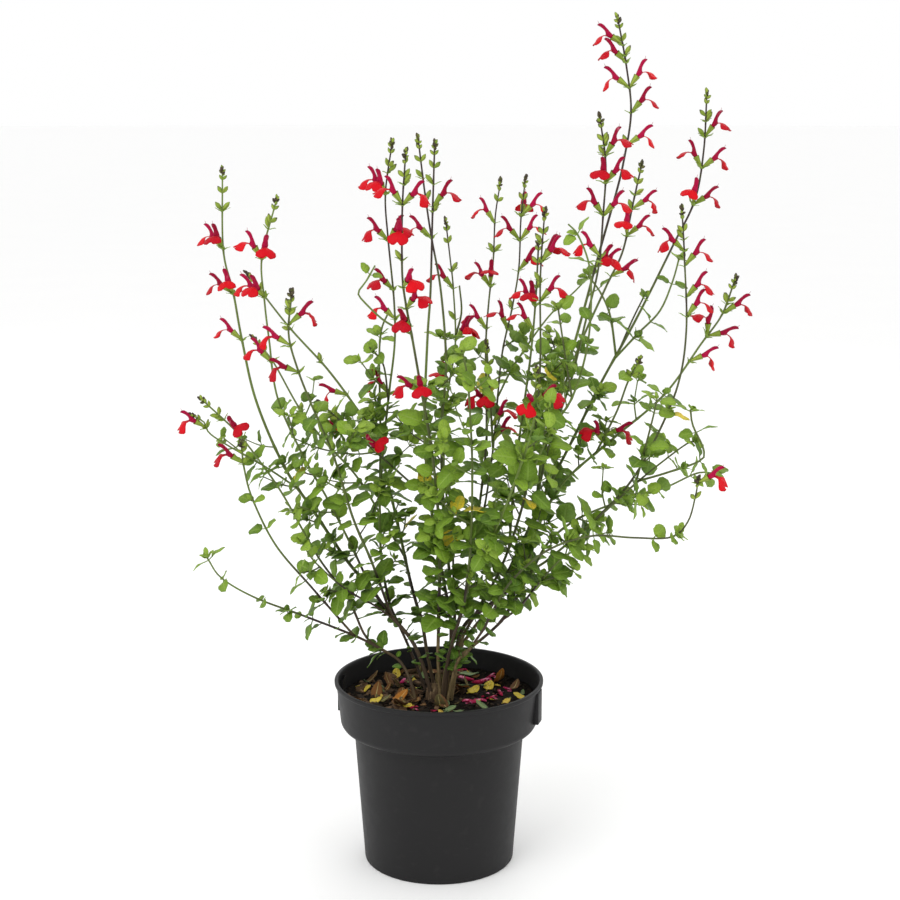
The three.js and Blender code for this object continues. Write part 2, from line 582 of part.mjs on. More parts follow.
function leafBody(frame, size, droop, grow) {
  const stalk = LEAF_PETIOLE * size;
  const reach = stalk + size;
  const sag = (x) => droop * size * (x / reach) ** 2;
  const put = (x, y, lift) => local(frame, x, y, lift + LEAF_FOLD * Math.abs(y) - sag(x));
  const stretch = 1 + (2 * grow) / size;
  const edge = size < SMALL_LEAF ? SMALL_LEAF_EDGE : LEAF_EDGE;
  const edgePoint = ([along, out], sign) => put(stalk + along * size, sign * out * size * stretch, 0);
  const side = (sign) => edge.map((place) => edgePoint(place, sign));
  const neck = PETIOLE_WIDTH / 2 + grow;
  const left = [put(stalk, neck, 0), ...side(1)];
  const right = [put(stalk, -neck, 0), ...side(-1)].reverse();
  const rim = [...left, put(reach + grow, 0, 0), ...right];
  const middle = stalk + 0.3 * size;
  const points = [
    put(0, 0, 0),
    put(middle, 0, LEAF_THICKNESS / 2 + grow),
    put(middle, 0, -LEAF_THICKNESS / 2 - grow),
    ...rim,
  ];
  const [root, top, bottom, first] = [0, 1, 2, 3];
  const final = first + rim.length - 1;
  const triangles = [[root, top, first], [root, first, bottom], [final, top, root], [final, root, bottom]];
  for (let i = first; i < final; i += 1) triangles.push([i, top, i + 1], [i + 1, bottom, i]);
  return bodyFrom(points, triangles);
}

// Flower: calyx and tube in one funnel, an upright hood and a broad two-lobed lip
function flowerBody(frame, size, droop, grow) {
  const put = (x, y, z) => local(frame, x, y, z);
  const threeSided = (x, radius) => [put(x, 0, radius), put(x, -0.9 * radius, -0.6 * radius),
    put(x, 0.9 * radius, -0.6 * radius)];
  const lip = (along, width, lift) => {
    const bend = 1 + 0.32 * (along / LIP_LENGTH) + droop;
    const x = THROAT_AT + along * Math.cos(bend) + lift * Math.sin(bend);
    return put(x, width, -along * Math.sin(bend) + lift * Math.cos(bend) - 0.6);
  };
  const half = LIP_WIDTH / 2 + grow;
  const throat = THROAT_RADIUS + grow;
  const points = [
    put(0, 0, 0),
    ...threeSided(CALYX_LENGTH, CALYX_RADIUS + grow),
    put(THROAT_AT, 0, throat),
    put(THROAT_AT, -throat, 0),
    put(THROAT_AT, 0, -throat),
    put(THROAT_AT, throat, 0),
    put(THROAT_AT + HOOD_LENGTH + grow, 0, 2.8),
    lip(5, -1.8 - grow, 0),
    lip(10, -half, -0.8),
    lip(LIP_LENGTH + grow, -0.5 * half, 0),
    lip(LIP_LENGTH - 2, 0, 0),
    lip(LIP_LENGTH + grow, 0.5 * half, 0),
    lip(10, half, -0.8),
    lip(5, 1.8 + grow, 0),
    lip(9, 0, LIP_THICKNESS / 2 + grow),
    lip(9, 0, -LIP_THICKNESS / 2 - grow),
  ];
  const [root, mouthTop, mouthRight, mouthLeft] = [0, 1, 2, 3];
  const [crown, right, keel, left, hoodTip] = [4, 5, 6, 7, 8];
  const lipEdge = [right, 9, 10, 11, 12, 13, 14, 15, left];
  const [lipTop, lipBottom] = [16, 17];
  const triangles = [
    [root, mouthRight, mouthTop], [root, mouthLeft, mouthRight], [root, mouthTop, mouthLeft],
    [mouthTop, mouthRight, right], [mouthTop, right, crown],
    [mouthRight, mouthLeft, keel], [mouthRight, keel, right], [mouthLeft, left, keel],
    [mouthLeft, mouthTop, crown], [mouthLeft, crown, left],
    [crown, right, hoodTip], [right, left, hoodTip], [left, crown, hoodTip],
    [left, right, lipTop], [right, keel, lipBottom], [keel, left, lipBottom],
  ];
  for (let i = 0; i < lipEdge.length - 1; i += 1) {
    triangles.push([lipEdge[i], lipEdge[i + 1], lipTop], [lipEdge[i + 1], lipEdge[i], lipBottom]);
  }
  return bodyFrom(points, triangles);
}

// Closed bud or emptied calyx: a three-sided spindle
function budBody(frame, size, droop, grow) {
  const belly = [0, 1, 2].map((i) => {
    const turn = (i * 2 * Math.PI) / 3;
    const radius = BUD_RADIUS + grow;
    return local(frame, size * 0.6, -radius * Math.sin(turn), radius * Math.cos(turn));
  });
  const points = [frame.origin, ...belly, local(frame, size + grow, 0, 0)];
  const triangles = [];
  for (const [i, j] of [[1, 2], [2, 3], [3, 1]]) triangles.push([0, j, i], [i, j, 4]);
  return bodyFrom(points, triangles);
}

// Growing the plant: bare shoots first, then flowers, buds and leaves where they stay clear
const FLOWER_TURNS = [0, 15, -15, 30, -30, 50, -50, 75, -75, 100, -100, 140];
const LEAF_TURNS = [0, 22, -22, 45, -45];
const LEAF_RISES = [0, 0.35, -0.3];

function makeShoots(node, rows, random) {
  const routes = {};
  const shoots = [];
  for (const [name, parent, foot, tip, route, leaves, flowers, buds] of rows) {
    const points = route.map((point) => [...point]);
    if (parent) {
      const fork = distanceNearest(routes[parent].route, new THREE.Vector3(...points[0]));
      points[0] = routes[parent].route.at(fork).toArray();
      routes[parent].marks.push(fork);
    }
    const shoot = {
      node,
      isMain: !parent,
      radii: [foot, tip],
      route: makeRoute(points),
      twist: random(0, Math.PI / 2),
      marks: [],
      leaves,
      flowers,
      buds,
    };
    routes[name] = shoot;
    shoots.push(shoot);
  }
  return shoots;
}

function turnedOutward(tangent, turn) {
  const [side, back] = crossFrame(tangent);
  return side.clone().multiplyScalar(Math.cos(turn)).addScaledVector(back, Math.sin(turn));
}

function compassOutward(tangent, degrees) {
  const turn = THREE.MathUtils.degToRad(degrees);
  const flat = new THREE.Vector3(Math.cos(turn), Math.sin(turn), 0);
  return flat.addScaledVector(tangent, -tangent.dot(flat)).normalize();
}

// What each shoot should carry, in a fixed order of draws
function listFlowers(shoot, random) {
  const made = [];
  for (const [height, degrees] of shoot.flowers) {
    const distance = distanceAtHeight(shoot.route, height);
    const rise = random(0.72, 0.95);
    made.push({ kind: flowerBody, distance, degrees, rise, size: 1, droop: random(-0.15, 0.2) });
  }
  for (const [height, degrees] of shoot.buds) {
    const distance = distanceAtHeight(shoot.route, height);
    made.push({ kind: budBody, distance, degrees, rise: random(0.8, 1.1), size: BUD_LENGTH, droop: 0 });
  }
  return made;
}

function listLeaves(shoot, random) {
  if (!shoot.leaves) return [];
  const made = [];
  const [from, to, pairs, first, last] = shoot.leaves;
  for (let i = 0; i < pairs; i += 1) {
    const share = pairs > 1 ? i / (pairs - 1) : 0.5;
    const distance = (from + (to - from) * share) * shoot.route.length;
    const turn = shoot.twist + (i * Math.PI) / 2 + random(-0.2, 0.2);
    for (const half of [0, Math.PI]) {
      const size = (first + (last - first) * share) * random(0.88, 1.15);
      const rise = random(0.15, 0.6);
      made.push({ kind: leafBody, distance, turn: turn + half, rise, size, droop: random(0.1, 0.4) });
    }
  }
  return made;
}

function boxesMeet(a, b) {
  return [0, 1, 2].every((i) => a.min[i] < b.max[i] && b.min[i] < a.max[i]);
}

// Whether a body keeps off what other stems carry and, if strict, off the rest of its own stem
function isClear(body, shoot, item, placed, strict) {
  const box = body.boundingBox();
  const ignores = (other) => {
    if (other.shoot.node !== shoot.node) return false;
    if (!strict || other.shoot !== shoot) return !strict;
    return other.distance === null || Math.abs(other.distance - item.distance) < NODE_SPAN;
  };
  return !placed.some((other) => !ignores(other) && boxesMeet(box, other.box)
    && !body.intersect(other.body).isEmpty());
}

function keep(shoot, distance, body, guard, parts, placed) {
  parts[shoot.node].push(body);
  placed.push({ shoot, distance, body: guard, box: guard.boundingBox() });
}

function variantFrames(shoot, item) {
  const tangent = shoot.route.along(item.distance);
  const axis = axisAt(shoot.route, shoot.sections, item.distance);
  const sunk = ROOT_DEPTH * radiusAt(shoot.route, shoot.radii, item.distance);
  const stand = (outward, rise) => placeOut(axis, tangent, outward, rise, sunk);
  if (item.kind === leafBody) {
    return LEAF_RISES.flatMap((lift) => LEAF_TURNS.map((degrees) => {
      const turn = item.turn + THREE.MathUtils.degToRad(degrees);
      return stand(turnedOutward(tangent, turn), item.rise + lift);
    }));
  }
  return FLOWER_TURNS.map((degrees) => stand(compassOutward(tangent, item.degrees + degrees), item.rise));
}

// Takes the first way to stand that is clear; a flower may touch its own stem, a leaf is left out
function growItem(shoot, item, parts, placed) {
  const frames = variantFrames(shoot, item);
  for (const strict of item.kind === leafBody ? [true] : [true, false]) {
    for (const frame of frames) {
      const body = item.kind(frame, item.size, item.droop, 0);
      if (isClear(body, shoot, item, placed, strict)) {
        const guard = item.kind(frame, item.size, item.droop, KEEP_CLEAR);
        keep(shoot, item.distance, body, guard, parts, placed);
        return;
      }
    }
  }
}

function growPlant(random) {
  const shoots = Object.entries(STEMS).flatMap(([node, rows]) => makeShoots(node, rows, random));
  const parts = Object.fromEntries(Object.keys(STEMS).map((node) => [node, []]));
  const placed = [];
  const flowers = shoots.map((shoot) => listFlowers(shoot, random));
  const leaves = shoots.map((shoot) => listLeaves(shoot, random));
  shoots.forEach((shoot, i) => {
    const carried = [...flowers[i], ...leaves[i]].map((item) => item.distance);
    shoot.sections = sectionDistances(shoot.route, [...shoot.marks, ...carried]);
    const bare = shootBody(shoot, shoot.sections, 0);
    keep(shoot, null, bare, shootBody(shoot, shoot.sections, KEEP_CLEAR), parts, placed);
  });
  for (const lists of [flowers, leaves]) {
    shoots.forEach((shoot, i) => lists[i].forEach((item) => growItem(shoot, item, parts, placed)));
  }
  return { parts, shoots };
}

function stemHole(shoot) {
  const clearOfSoil = (distance) => shoot.route.at(distance).z > SOIL_LEVEL + CHIP_SIZE[2];
  const above = shoot.sections.findIndex(clearOfSoil);
  return shootBody({ ...shoot, flowers: [], buds: [] }, shoot.sections.slice(0, above + 1), STEM_HOLE_GAP);
}

// Woody crown at the foot of the left stem
function knobBody(grow) {
  const knob = new THREE.IcosahedronGeometry(1, 0);
  knob.scale(...KNOB_SIZE.map((half) => half + grow));
  knob.rotateZ(THREE.MathUtils.degToRad(KNOB_TURN));
  knob.translate(...KNOB_PLACE);
  return bodyFromGeometry(knob);
}

// Fallen petal or leaf: a low cushion on three low points, lowered until it rests on the soil
const FALLEN_OUTLINES = {
  corolla: [[0, 0.07], [0.5, 0.1], [0.78, 0.26], [1, 0.12], [0.96, -0.16], [0.74, -0.24], [0.5, -0.1],
    [0, -0.07]],
  leaf: [[0, 0.02], [0.22, 0.27], [0.6, 0.26], [1, 0.02], [0.62, -0.24], [0.24, -0.29]],
};
const FALLEN_THICKNESS = 2.2;
const FALLEN_RIM = 1;

function fallenBody(kind, x, y, turn, length, height) {
  const rim = FALLEN_OUTLINES[kind].map(([along, out]) => (
    new THREE.Vector3((along - 0.5) * length, out * length, FALLEN_RIM)));
  const count = rim.length;
  const third = (i) => Math.floor((3 * i) / count);
  const low = [0, 1, 2].map((i) => {
    const outer = rim[Math.round(((i + 0.5) * count) / 3) % count];
    return new THREE.Vector3(outer.x / 2, outer.y / 2, 0);
  });
  const points = [...rim, new THREE.Vector3(0, 0, FALLEN_THICKNESS), ...low];
  for (const point of points) {
    point.applyAxisAngle(new THREE.Vector3(0, 0, 1), THREE.MathUtils.degToRad(turn));
    point.add(new THREE.Vector3(x, y, height));
  }
  const top = count;
  const triangles = [[top + 1, top + 2, top + 3]];
  for (let i = 0; i < count; i += 1) {
    const j = (i + 1) % count;
    triangles.push([top, j, i], [i, j, top + 1 + third(i)]);
    if (third(j) !== third(i)) triangles.push([j, top + 1 + third(j), top + 1 + third(i)]);
  }
  return bodyFrom(points, triangles);
}

function restOnSoil(row, ground) {
  const placed = (height) => fallenBody(...row, height);
  let height = SOIL_LEVEL + 2 * SOIL_RELIEF + CHIP_SIZE[2];
  while (placed(height - SEAT_GAP - SEAT_STEP).intersect(ground).isEmpty()) height -= SEAT_STEP;
  return placed(height);
}

const model = new THREE.Group();

function addNode(name, body, color, roughness, metalness) {
  const material = new THREE.MeshStandardMaterial({ color, roughness, metalness });
  const mesh = new THREE.Mesh(geometryFrom(body), material);
  mesh.name = name;
  model.add(mesh);
}

const random = makeRandom(SEED);
const plant = growPlant(random);
let soil = addChips(makeSoil(), random);
for (const shoot of plant.shoots.filter((one) => one.isMain)) soil = soil.subtract(stemHole(shoot));
soil = soil.subtract(knobBody(STEM_HOLE_GAP));
plant.parts.stem_left.push(knobBody(0));

addNode('pot', makePot(), 0x2e2e30, 0.55, 0);
addNode('soil', soil, 0x2a201a, 0.95, 0);
for (const [node, bodies] of Object.entries(plant.parts)) {
  addNode(node, bodies.reduce((whole, body) => whole.add(body)), 0x4f7a2c, 0.6, 0);
}
for (const [name, row] of Object.entries(FALLEN)) {
  addNode(name, restOnSoil(row, soil), row[0] === 'leaf' ? 0xc9b52e : 0xa51448, 0.7, 0);
}

export default model;
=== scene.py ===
import json
import math
import random

import bmesh
import bpy
import numpy as np
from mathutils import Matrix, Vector, kdtree, noise

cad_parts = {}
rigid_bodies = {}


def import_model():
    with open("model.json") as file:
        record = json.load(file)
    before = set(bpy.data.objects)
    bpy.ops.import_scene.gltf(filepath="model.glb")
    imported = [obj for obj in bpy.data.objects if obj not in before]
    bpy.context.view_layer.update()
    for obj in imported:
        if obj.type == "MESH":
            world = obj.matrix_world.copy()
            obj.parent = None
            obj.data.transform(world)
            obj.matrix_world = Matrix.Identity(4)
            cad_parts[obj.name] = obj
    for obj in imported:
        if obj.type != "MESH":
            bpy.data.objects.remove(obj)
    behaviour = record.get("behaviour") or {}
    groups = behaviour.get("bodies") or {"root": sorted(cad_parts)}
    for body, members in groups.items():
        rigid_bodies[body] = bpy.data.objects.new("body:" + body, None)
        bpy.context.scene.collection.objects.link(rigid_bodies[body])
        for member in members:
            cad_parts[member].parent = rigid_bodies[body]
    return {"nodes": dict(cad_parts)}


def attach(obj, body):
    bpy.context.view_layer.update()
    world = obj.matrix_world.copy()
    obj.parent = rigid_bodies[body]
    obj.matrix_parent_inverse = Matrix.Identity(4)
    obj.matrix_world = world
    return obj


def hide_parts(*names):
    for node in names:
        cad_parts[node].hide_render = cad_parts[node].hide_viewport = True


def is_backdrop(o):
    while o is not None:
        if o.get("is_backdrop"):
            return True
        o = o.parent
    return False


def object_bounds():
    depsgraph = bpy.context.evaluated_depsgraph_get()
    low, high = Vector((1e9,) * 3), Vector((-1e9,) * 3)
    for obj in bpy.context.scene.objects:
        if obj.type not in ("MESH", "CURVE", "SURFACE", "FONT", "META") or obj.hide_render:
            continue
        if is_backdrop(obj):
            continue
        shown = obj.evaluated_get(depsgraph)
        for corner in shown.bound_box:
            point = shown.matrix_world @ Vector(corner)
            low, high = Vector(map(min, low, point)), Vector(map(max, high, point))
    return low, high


# A small flowering sage shrub in a round nursery pot. Sizes are in millimetres until a mesh is made.

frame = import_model()
cad_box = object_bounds()

MM = 0.001

# Camera: where the photograph was taken from
CAMERA_PLACE = (10.8, -1624.0, 729.0)
CAMERA_DOWN = 11.2
CAMERA_LENS = 69.92

# Pot
FOOT_RADIUS = 73
LUG_MIDDLE = {-16: 98.4, 92: 98.6, 172: 96.2}
LUG_SIZE = (5.5, 15, 32)
LUG_HEIGHT = 162
LUG_WALL = 1.4
POCKET_DEPTH = 24
DRAIN_SLOTS = 8
SLOT_SIZE = (9, 9, 7)

# Soil and what lies on it
SOIL_LEVEL = 160
SOIL_RELIEF = 1.6
SOIL_RADIUS = 94.9
LITTER_RADIUS = 92
CHIP_COUNT = 7
CHIP_SIZE = (15, 7, 4)
LOOSE_CHIPS = 520
DRY_LEAVES = 46
LEAF_CRUMBS = 34
KNOB_PLACE = (-4, 5, 160)
KNOB_SIZE = (10, 6.5, 15)
KNOB_TURN = 29

# The plant's solids, which the fine pieces follow
SEED = 20817
TIP_RADIUS = 0.85
ROUTE_SLACK = 0.9
RING_STEP = 12
RING_CLEAR = 3
ROOT_DEPTH = 0.75
LEAF_PETIOLE = 0.33
THROAT_AT = 18
HOOD_LENGTH = 13
HOOD_TIP_HEIGHT = 2.8
BUD_LENGTH = 12
FLOWER_TURNS = (0, 15, -15, 30, -30, 50, -50, 75, -75, 100, -100, 140)
LEAF_TURNS = (0, 22, -22, 45, -45)
LEAF_RISES = (0, 0.35, -0.3)
TIP_MATCH = 0.8

# How the plant shows: its forms, and shares of the solids' sizes
LEAF_THICKNESS = 0.35
LEAF_FOLD = 0.16
LEAF_LARGER = 1.2
FULL_FORM_FROM = 9
LIP_LENGTH = 15.5
LIP_WIDTH = 18
BUD_RADIUS = 2.3
STEM_STEP = 5.0
STEM_SLIMMER = 0.86
TWIG_RADII = (0.85, 0.5)
WOOD_HEIGHT = 330
CROWN = (1, 2)
CROWDED_HEIGHTS = (160, 245)
CROWDED_SHARE = 0.42
SHADED_HEIGHTS = (190, 350)
SHADED_REACHES = (50, 140)
ZONE_HEIGHTS = (262, 505)
ZONE_SLOPE = 0.4
ZONE_MIDDLE = 50
ZONE_RIGHT = 190
TIP_KERNELS = 8
CHIP_FORMS = 7


# The shoots of each stem: name, shoot that it forks from, radius at its foot, route,
# leaf pairs (from and to as shares of the route, pairs, first and last blade length),
# flowers and closed buds (height on the shoot, compass angle: 0 right, 90 away, 180 left).
STEMS = {
  "stem_left_low": [
    ["a1", None, 2.2,
     [[-19, -10, 140], [-26, -7, 175], [-36, 0, 196], [-50, 1, 207], [-80, -4, 225], [-128, -14, 248],
      [-174, -26, 270], [-204, -36, 292], [-216, -42, 313]],
     [0.3, 0.99, 3, 14, 12], [], []],
    ["a2", "a1", 1.3,
     [[-82, -4, 227], [-120, -24, 279], [-152, -38, 324], [-171, -54, 372], [-177, -63, 403],
      [-178, -70, 424]],
     [0.2, 0.75, 2, 15, 12], [[408, 185]], [[420, 30]]],
    ["a3", "a1", 1.4,
     [[-60, 0, 212], [-72, -1, 226], [-88, -3, 264], [-115, -8, 305], [-146, -15, 366],
      [-166, -18, 398], [-188, -20, 428], [-217, -22, 457]],
     [0.15, 0.7, 3, 16, 13], [[424, -60]], [[441, 150]]],
  ],
  "stem_left": [
    ["b1", None, 3,
     [[-8, -1, 140], [-13, 0, 164], [-28, 6, 212], [-45, 10, 238], [-66, 14, 268], [-88, 18, 293],
      [-122, 26, 343], [-150, 31, 386], [-176, 38, 448], [-189, 44, 506], [-197, 49, 552],
      [-206, 53, 592], [-206, 60, 664]],
     [0.2, 0.5, 3, 18, 15],
     [[593, 195], [593, 250], [551, 190], [551, 262], [507, 185]], [[629, 160], [629, 20]]],
    ["b2", "b1", 1.6,
     [[-66, 14, 268], [-84, 2, 314], [-106, -8, 363], [-128, -16, 407], [-149, -26, 462],
      [-155, -33, 517], [-158, -38, 554], [-159, -43, 593], [-145, -50, 642]],
     [0.1, 0.5, 2, 17, 14], [[592, 200], [592, 285], [557, 240], [557, 180], [496, 188]], [[620, 150]]],
    ["b3", "b1", 1.5,
     [[-45, 10, 238], [-63, -14, 300], [-80, -32, 349], [-96, -52, 412], [-115, -72, 466],
      [-125, -86, 499], [-131, -97, 530], [-127, -110, 565]],
     [0.12, 0.65, 3, 18, 14], [[540, 15], [520, 185], [495, 195]], [[554, 160]]],
    ["b4", "b1", 1.3,
     [[-45, 10, 238], [-60, -8, 256], [-88, -28, 279], [-115, -46, 310], [-126, -58, 332]],
     [0.4, 0.98, 2, 16, 12], [], []],
    ["b5", "b1", 1.3,
     [[-134, 28, 366], [-166, 8, 390], [-198, -4, 412], [-215, -12, 426], [-219, -16, 437],
      [-227, -20, 443]],
     [0.2, 0.6, 1, 13, 12], [[432, 200]], []],
  ],
  "stem_back_left": [
    ["c1", None, 2.2,
     [[-6, 17, 140], [-8, 19, 164], [-15, 27, 198], [-19, 34, 232], [-29, 43, 270], [-44, 59, 335],
      [-62, 75, 403], [-84, 84, 436], [-112, 94, 472], [-150, 106, 512], [-189, 120, 560]],
     [0.2, 0.6, 3, 19, 16], [[446, 185]], [[509, 150], [478, 20]]],
    ["c2", "c1", 1.3,
     [[-33, 48, 290], [-79, 80, 360], [-114, 100, 395], [-142, 118, 428], [-169, 139, 471],
      [-188, 150, 492]],
     [0.3, 0.6, 2, 15, 13], [], [[424, 100], [424, 20], [404, 180]]],
  ],
  "stem_inner_left": [
    ["d1", None, 2.1,
     [[-20, 30, 140], [-24, 30, 164], [-35, 30, 198], [-46, 29, 238], [-55, 25, 286], [-57, 18, 342],
      [-53, 10, 404], [-47, 4, 459], [-41, -2, 508], [-41, -8, 549], [-46, -14, 608], [-48, -18, 648],
      [-42, -24, 691]],
     [0.2, 0.55, 3, 19, 16],
     [[649, 190], [649, 240], [606, 205], [606, -30], [561, 220], [533, 195], [461, 190]], [[668, 20]]],
    ["d2", "d1", 1.3,
     [[-57, 18, 342], [-56, 24, 420], [-56, 28, 507], [-47, 31, 537]],
     [0.2, 0.85, 2, 16, 12], [], []],
    ["d3", "d1", 1.3,
     [[-47, 5, 455], [-51, -20, 492], [-63, -34, 510]],
     [0.7, 0.98, 1, 14, 12], [], []],
  ],
  "stem_front_middle": [
    ["e1", None, 2.6,
     [[2, -6, 140], [1, -7, 164], [-1, -11, 205], [0, -19, 246], [1, -32, 308], [-1, -45, 369],
      [-7, -58, 426], [-15, -69, 476], [-22, -79, 520], [-30, -92, 570], [-31, -100, 604],
      [-30, -110, 645], [-27, -120, 685]],
     [0.2, 0.55, 4, 20, 17],
     [[644, 190], [644, -20], [615, 262], [572, 300], [552, 325], [536, 250], [475, 205], [475, 272]],
     [[662, 20], [596, 160]]],
    ["e2", "e1", 1.3,
     [[-23, -81, 528], [-46, -92, 541], [-65, -100, 560], [-69, -104, 568], [-62, -108, 578],
      [-54, -112, 592]],
     [0.85, 0.95, 1, 8, 8], [], []],
  ],
  "stem_middle": [
    ["f1", None, 2.5,
     [[8, -3, 140], [9, -4, 164], [12, -6, 201], [13, -8, 224], [10, -10, 253], [1, -13, 303],
      [-8, -17, 363], [-13, -22, 431], [-10, -28, 516], [-7, -31, 561], [-5, -36, 630], [-3, -40, 690]],
     [0.2, 0.6, 3, 19, 15], [[639, -10]], [[659, 170], [634, 30]]],
    ["f2", "f1", 1.3,
     [[-8, -17, 363], [-42, -14, 393], [-62, -18, 412], [-85, -24, 434], [-106, -30, 455]],
     [0.3, 0.9, 2, 17, 13], [[407, -40], [432, 150]], []],
  ],
  "stem_middle_back": [
    ["g1", None, 2.2,
     [[11, 9, 140], [12, 9, 164], [16, 10, 232], [11, 15, 276], [4, 23, 354], [3, 31, 426],
      [7, 37, 486], [2, 45, 554], [-7, 50, 605], [-13, 55, 645], [-19, 60, 693]],
     [0.2, 0.55, 3, 19, 15], [[604, 190]], [[639, 10], [660, 170]]],
    ["g2", "g1", 1.5,
     [[14, 13, 254], [13, 34, 311], [5, 51, 377], [8, 68, 445], [16, 81, 497], [14, 95, 551],
      [11, 102, 579], [7, 110, 612]],
     [0.12, 0.5, 2, 18, 15], [[551, 190], [502, -15], [502, -50], [455, 230]], [[568, 20], [521, 170]]],
    ["g3", "g2", 1.3,
     [[16, 84, 505], [22, 78, 529], [20, 70, 556]],
     None, [], []],
  ],
  "stem_back": [
    ["h1", None, 2.2,
     [[4, 24, 140], [5, 25, 164], [11, 30, 194], [23, 44, 238], [31, 59, 284], [41, 80, 341],
      [48, 105, 407], [47, 132, 484], [50, 148, 529], [55, 164, 573], [57, 178, 614], [62, 190, 647]],
     [0.25, 0.6, 3, 18, 15], [[610, 190], [547, 182], [547, 262], [506, 190]], [[582, 10], [582, 170]]],
    ["h2", "h1", 1.5,
     [[24, 46, 244], [33, 48, 292], [43, 52, 330], [53, 58, 397], [61, 70, 484], [71, 78, 531],
      [78, 86, 571], [80, 94, 618], [84, 100, 654]],
     [0.12, 0.5, 2, 17, 14],
     [[622, -10], [622, 80], [598, 195], [598, -20], [569, -40], [513, 200]], [[533, 150]]],
    ["h3", "h2", 1.3,
     [[53, 58, 397], [50, 47, 445], [48, 40, 473], [46, 36, 500]],
     None, [[446, 205], [446, 255], [422, 10], [406, 20]], []],
    ["h4", "h2", 1.3,
     [[57, 64, 448], [74, 78, 477], [108, 104, 521], [140, 125, 549], [162, 140, 573]],
     None, [], [[528, 60], [501, 200]]],
  ],
  "stem_right_inner": [
    ["i1", None, 2.2,
     [[17, 0, 140], [18, 1, 164], [24, 0, 215], [36, -6, 249], [57, -12, 290], [73, -16, 335],
      [84, -20, 381], [91, -24, 439], [94, -28, 496], [93, -32, 562], [94, -35, 599], [96, -38, 631]],
     [0.25, 0.6, 3, 18, 15], [[589, -10], [589, 40], [553, -15]], [[570, 150], [605, 170]]],
    ["i2", "i1", 1.4,
     [[66, -14, 316], [72, 0, 378], [79, 12, 434], [87, 24, 490], [92, 34, 542], [95, 44, 598]],
     [0.15, 0.55, 2, 16, 14], [[541, 200], [541, 250], [518, 190]], [[558, 20]]],
    ["i3", "i1", 1.3,
     [[84, -20, 381], [104, -34, 432], [122, -48, 465], [133, -62, 507], [136, -76, 548],
      [133, -90, 589], [122, -100, 617], [113, -106, 627]],
     [0.15, 0.95, 3, 16, 11], [], []],
    ["i4", "i3", 1.3,
     [[122, -48, 465], [116, -46, 502], [109, -42, 547]],
     [0.4, 0.98, 2, 14, 11], [], []],
  ],
  "stem_right_tall": [
    ["j1", None, 2.6,
     [[20, 10, 140], [20, 10, 164], [21, 11, 210], [27, 12, 232], [43, 13, 247], [64, 14, 263],
      [80, 16, 281], [90, 18, 304], [94, 20, 347], [101, 22, 410], [115, 24, 458], [131, 25, 513],
      [152, 27, 594], [166, 28, 646], [173, 29, 677], [179, 30, 721], [174, 31, 763], [166, 32, 803]],
     [0.22, 0.45, 3, 18, 15],
     [[783, 190], [767, 200], [744, 180], [744, 0], [721, -10], [692, -10], [579, -25], [579, -60]],
     [[773, 10], [692, 170]]],
    ["j2", "j1", 1.5,
     [[95, 20, 361], [107, 4, 419], [123, -8, 472], [136, -20, 533], [146, -29, 582], [149, -37, 633],
      [150, -43, 675], [144, -50, 714]],
     [0.1, 0.35, 2, 16, 14],
     [[684, -20], [660, -30], [660, 250], [631, 190], [631, -20], [593, 190]], [[684, 160], [693, 20]]],
    ["j3", "j1", 1.5,
     [[96, 20, 370], [108, 34, 423], [134, 54, 494], [162, 72, 554], [179, 84, 588], [189, 97, 631],
      [198, 110, 668]],
     [0.15, 0.4, 2, 16, 14], [[629, -10], [603, 250], [603, -20], [565, -30]], [[629, 160], [642, 10]]],
    ["j4", "j1", 1.6,
     [[92, 19, 320], [118, 14, 371], [166, 8, 417], [213, 4, 460], [246, 0, 509], [264, -2, 536],
      [274, -4, 566]],
     [0.12, 0.6, 3, 16, 13], [[538, 0], [516, 190], [516, -10], [492, 0]], [[547, 170]]],
    ["j5", "j4", 1.3,
     [[150, 10, 403], [167, -10, 446], [175, -26, 476], [183, -38, 497]],
     [0.7, 0.98, 1, 13, 11], [[415, 200], [422, -15]], []],
  ],
  "stem_right_back": [
    ["k1", None, 2.4,
     [[18, 21, 140], [19, 21, 164], [24, 23, 200], [36, 26, 222], [49, 29, 241], [65, 34, 273],
      [84, 40, 312], [103, 46, 353], [132, 56, 409], [158, 64, 461], [193, 74, 524], [228, 84, 594],
      [249, 90, 638], [257, 96, 685], [259, 100, 735]],
     [0.22, 0.5, 3, 17, 14],
     [[698, -30], [668, 182], [668, -2], [633, 240], [633, -10]], [[698, 170], [713, 10]]],
    ["k2", "k1", 1.3,
     [[171, 68, 484], [192, 54, 511], [212, 47, 534], [223, 44, 562], [229, 44, 585]],
     [0.25, 0.98, 2, 15, 11], [], []],
    ["k3", "k1", 1.3,
     [[173, 68, 488], [168, 80, 524], [160, 96, 545], [148, 108, 562]],
     [0.35, 0.98, 2, 14, 11], [], []],
    ["k4", "k1", 1.3,
     [[176, 69, 494], [187, 58, 524], [200, 56, 552]],
     [0.8, 0.98, 1, 11, 10], [], []],
  ],
  "stem_right_front": [
    ["l1", None, 2.5,
     [[20, -10, 140], [20, -11, 164], [24, -13, 203], [35, -17, 216], [53, -22, 236], [74, -28, 271],
      [88, -32, 297], [104, -37, 311], [144, -46, 349], [184, -57, 390], [222, -67, 424],
      [233, -70, 430]],
     [0.35, 0.98, 3, 17, 13], [], []],
    ["l2", "l1", 1.6,
     [[144, -46, 349], [176, -42, 383], [199, -40, 423], [220, -37, 475], [227, -34, 526],
      [224, -32, 590], [221, -30, 632]],
     [0.1, 0.4, 2, 16, 13], [[598, 200], [585, -10], [557, -20], [539, -10]], [[609, 170]]],
    ["l3", "l1", 1.3,
     [[184, -57, 390], [207, -70, 400], [236, -79, 413], [239, -81, 424], [228, -86, 447],
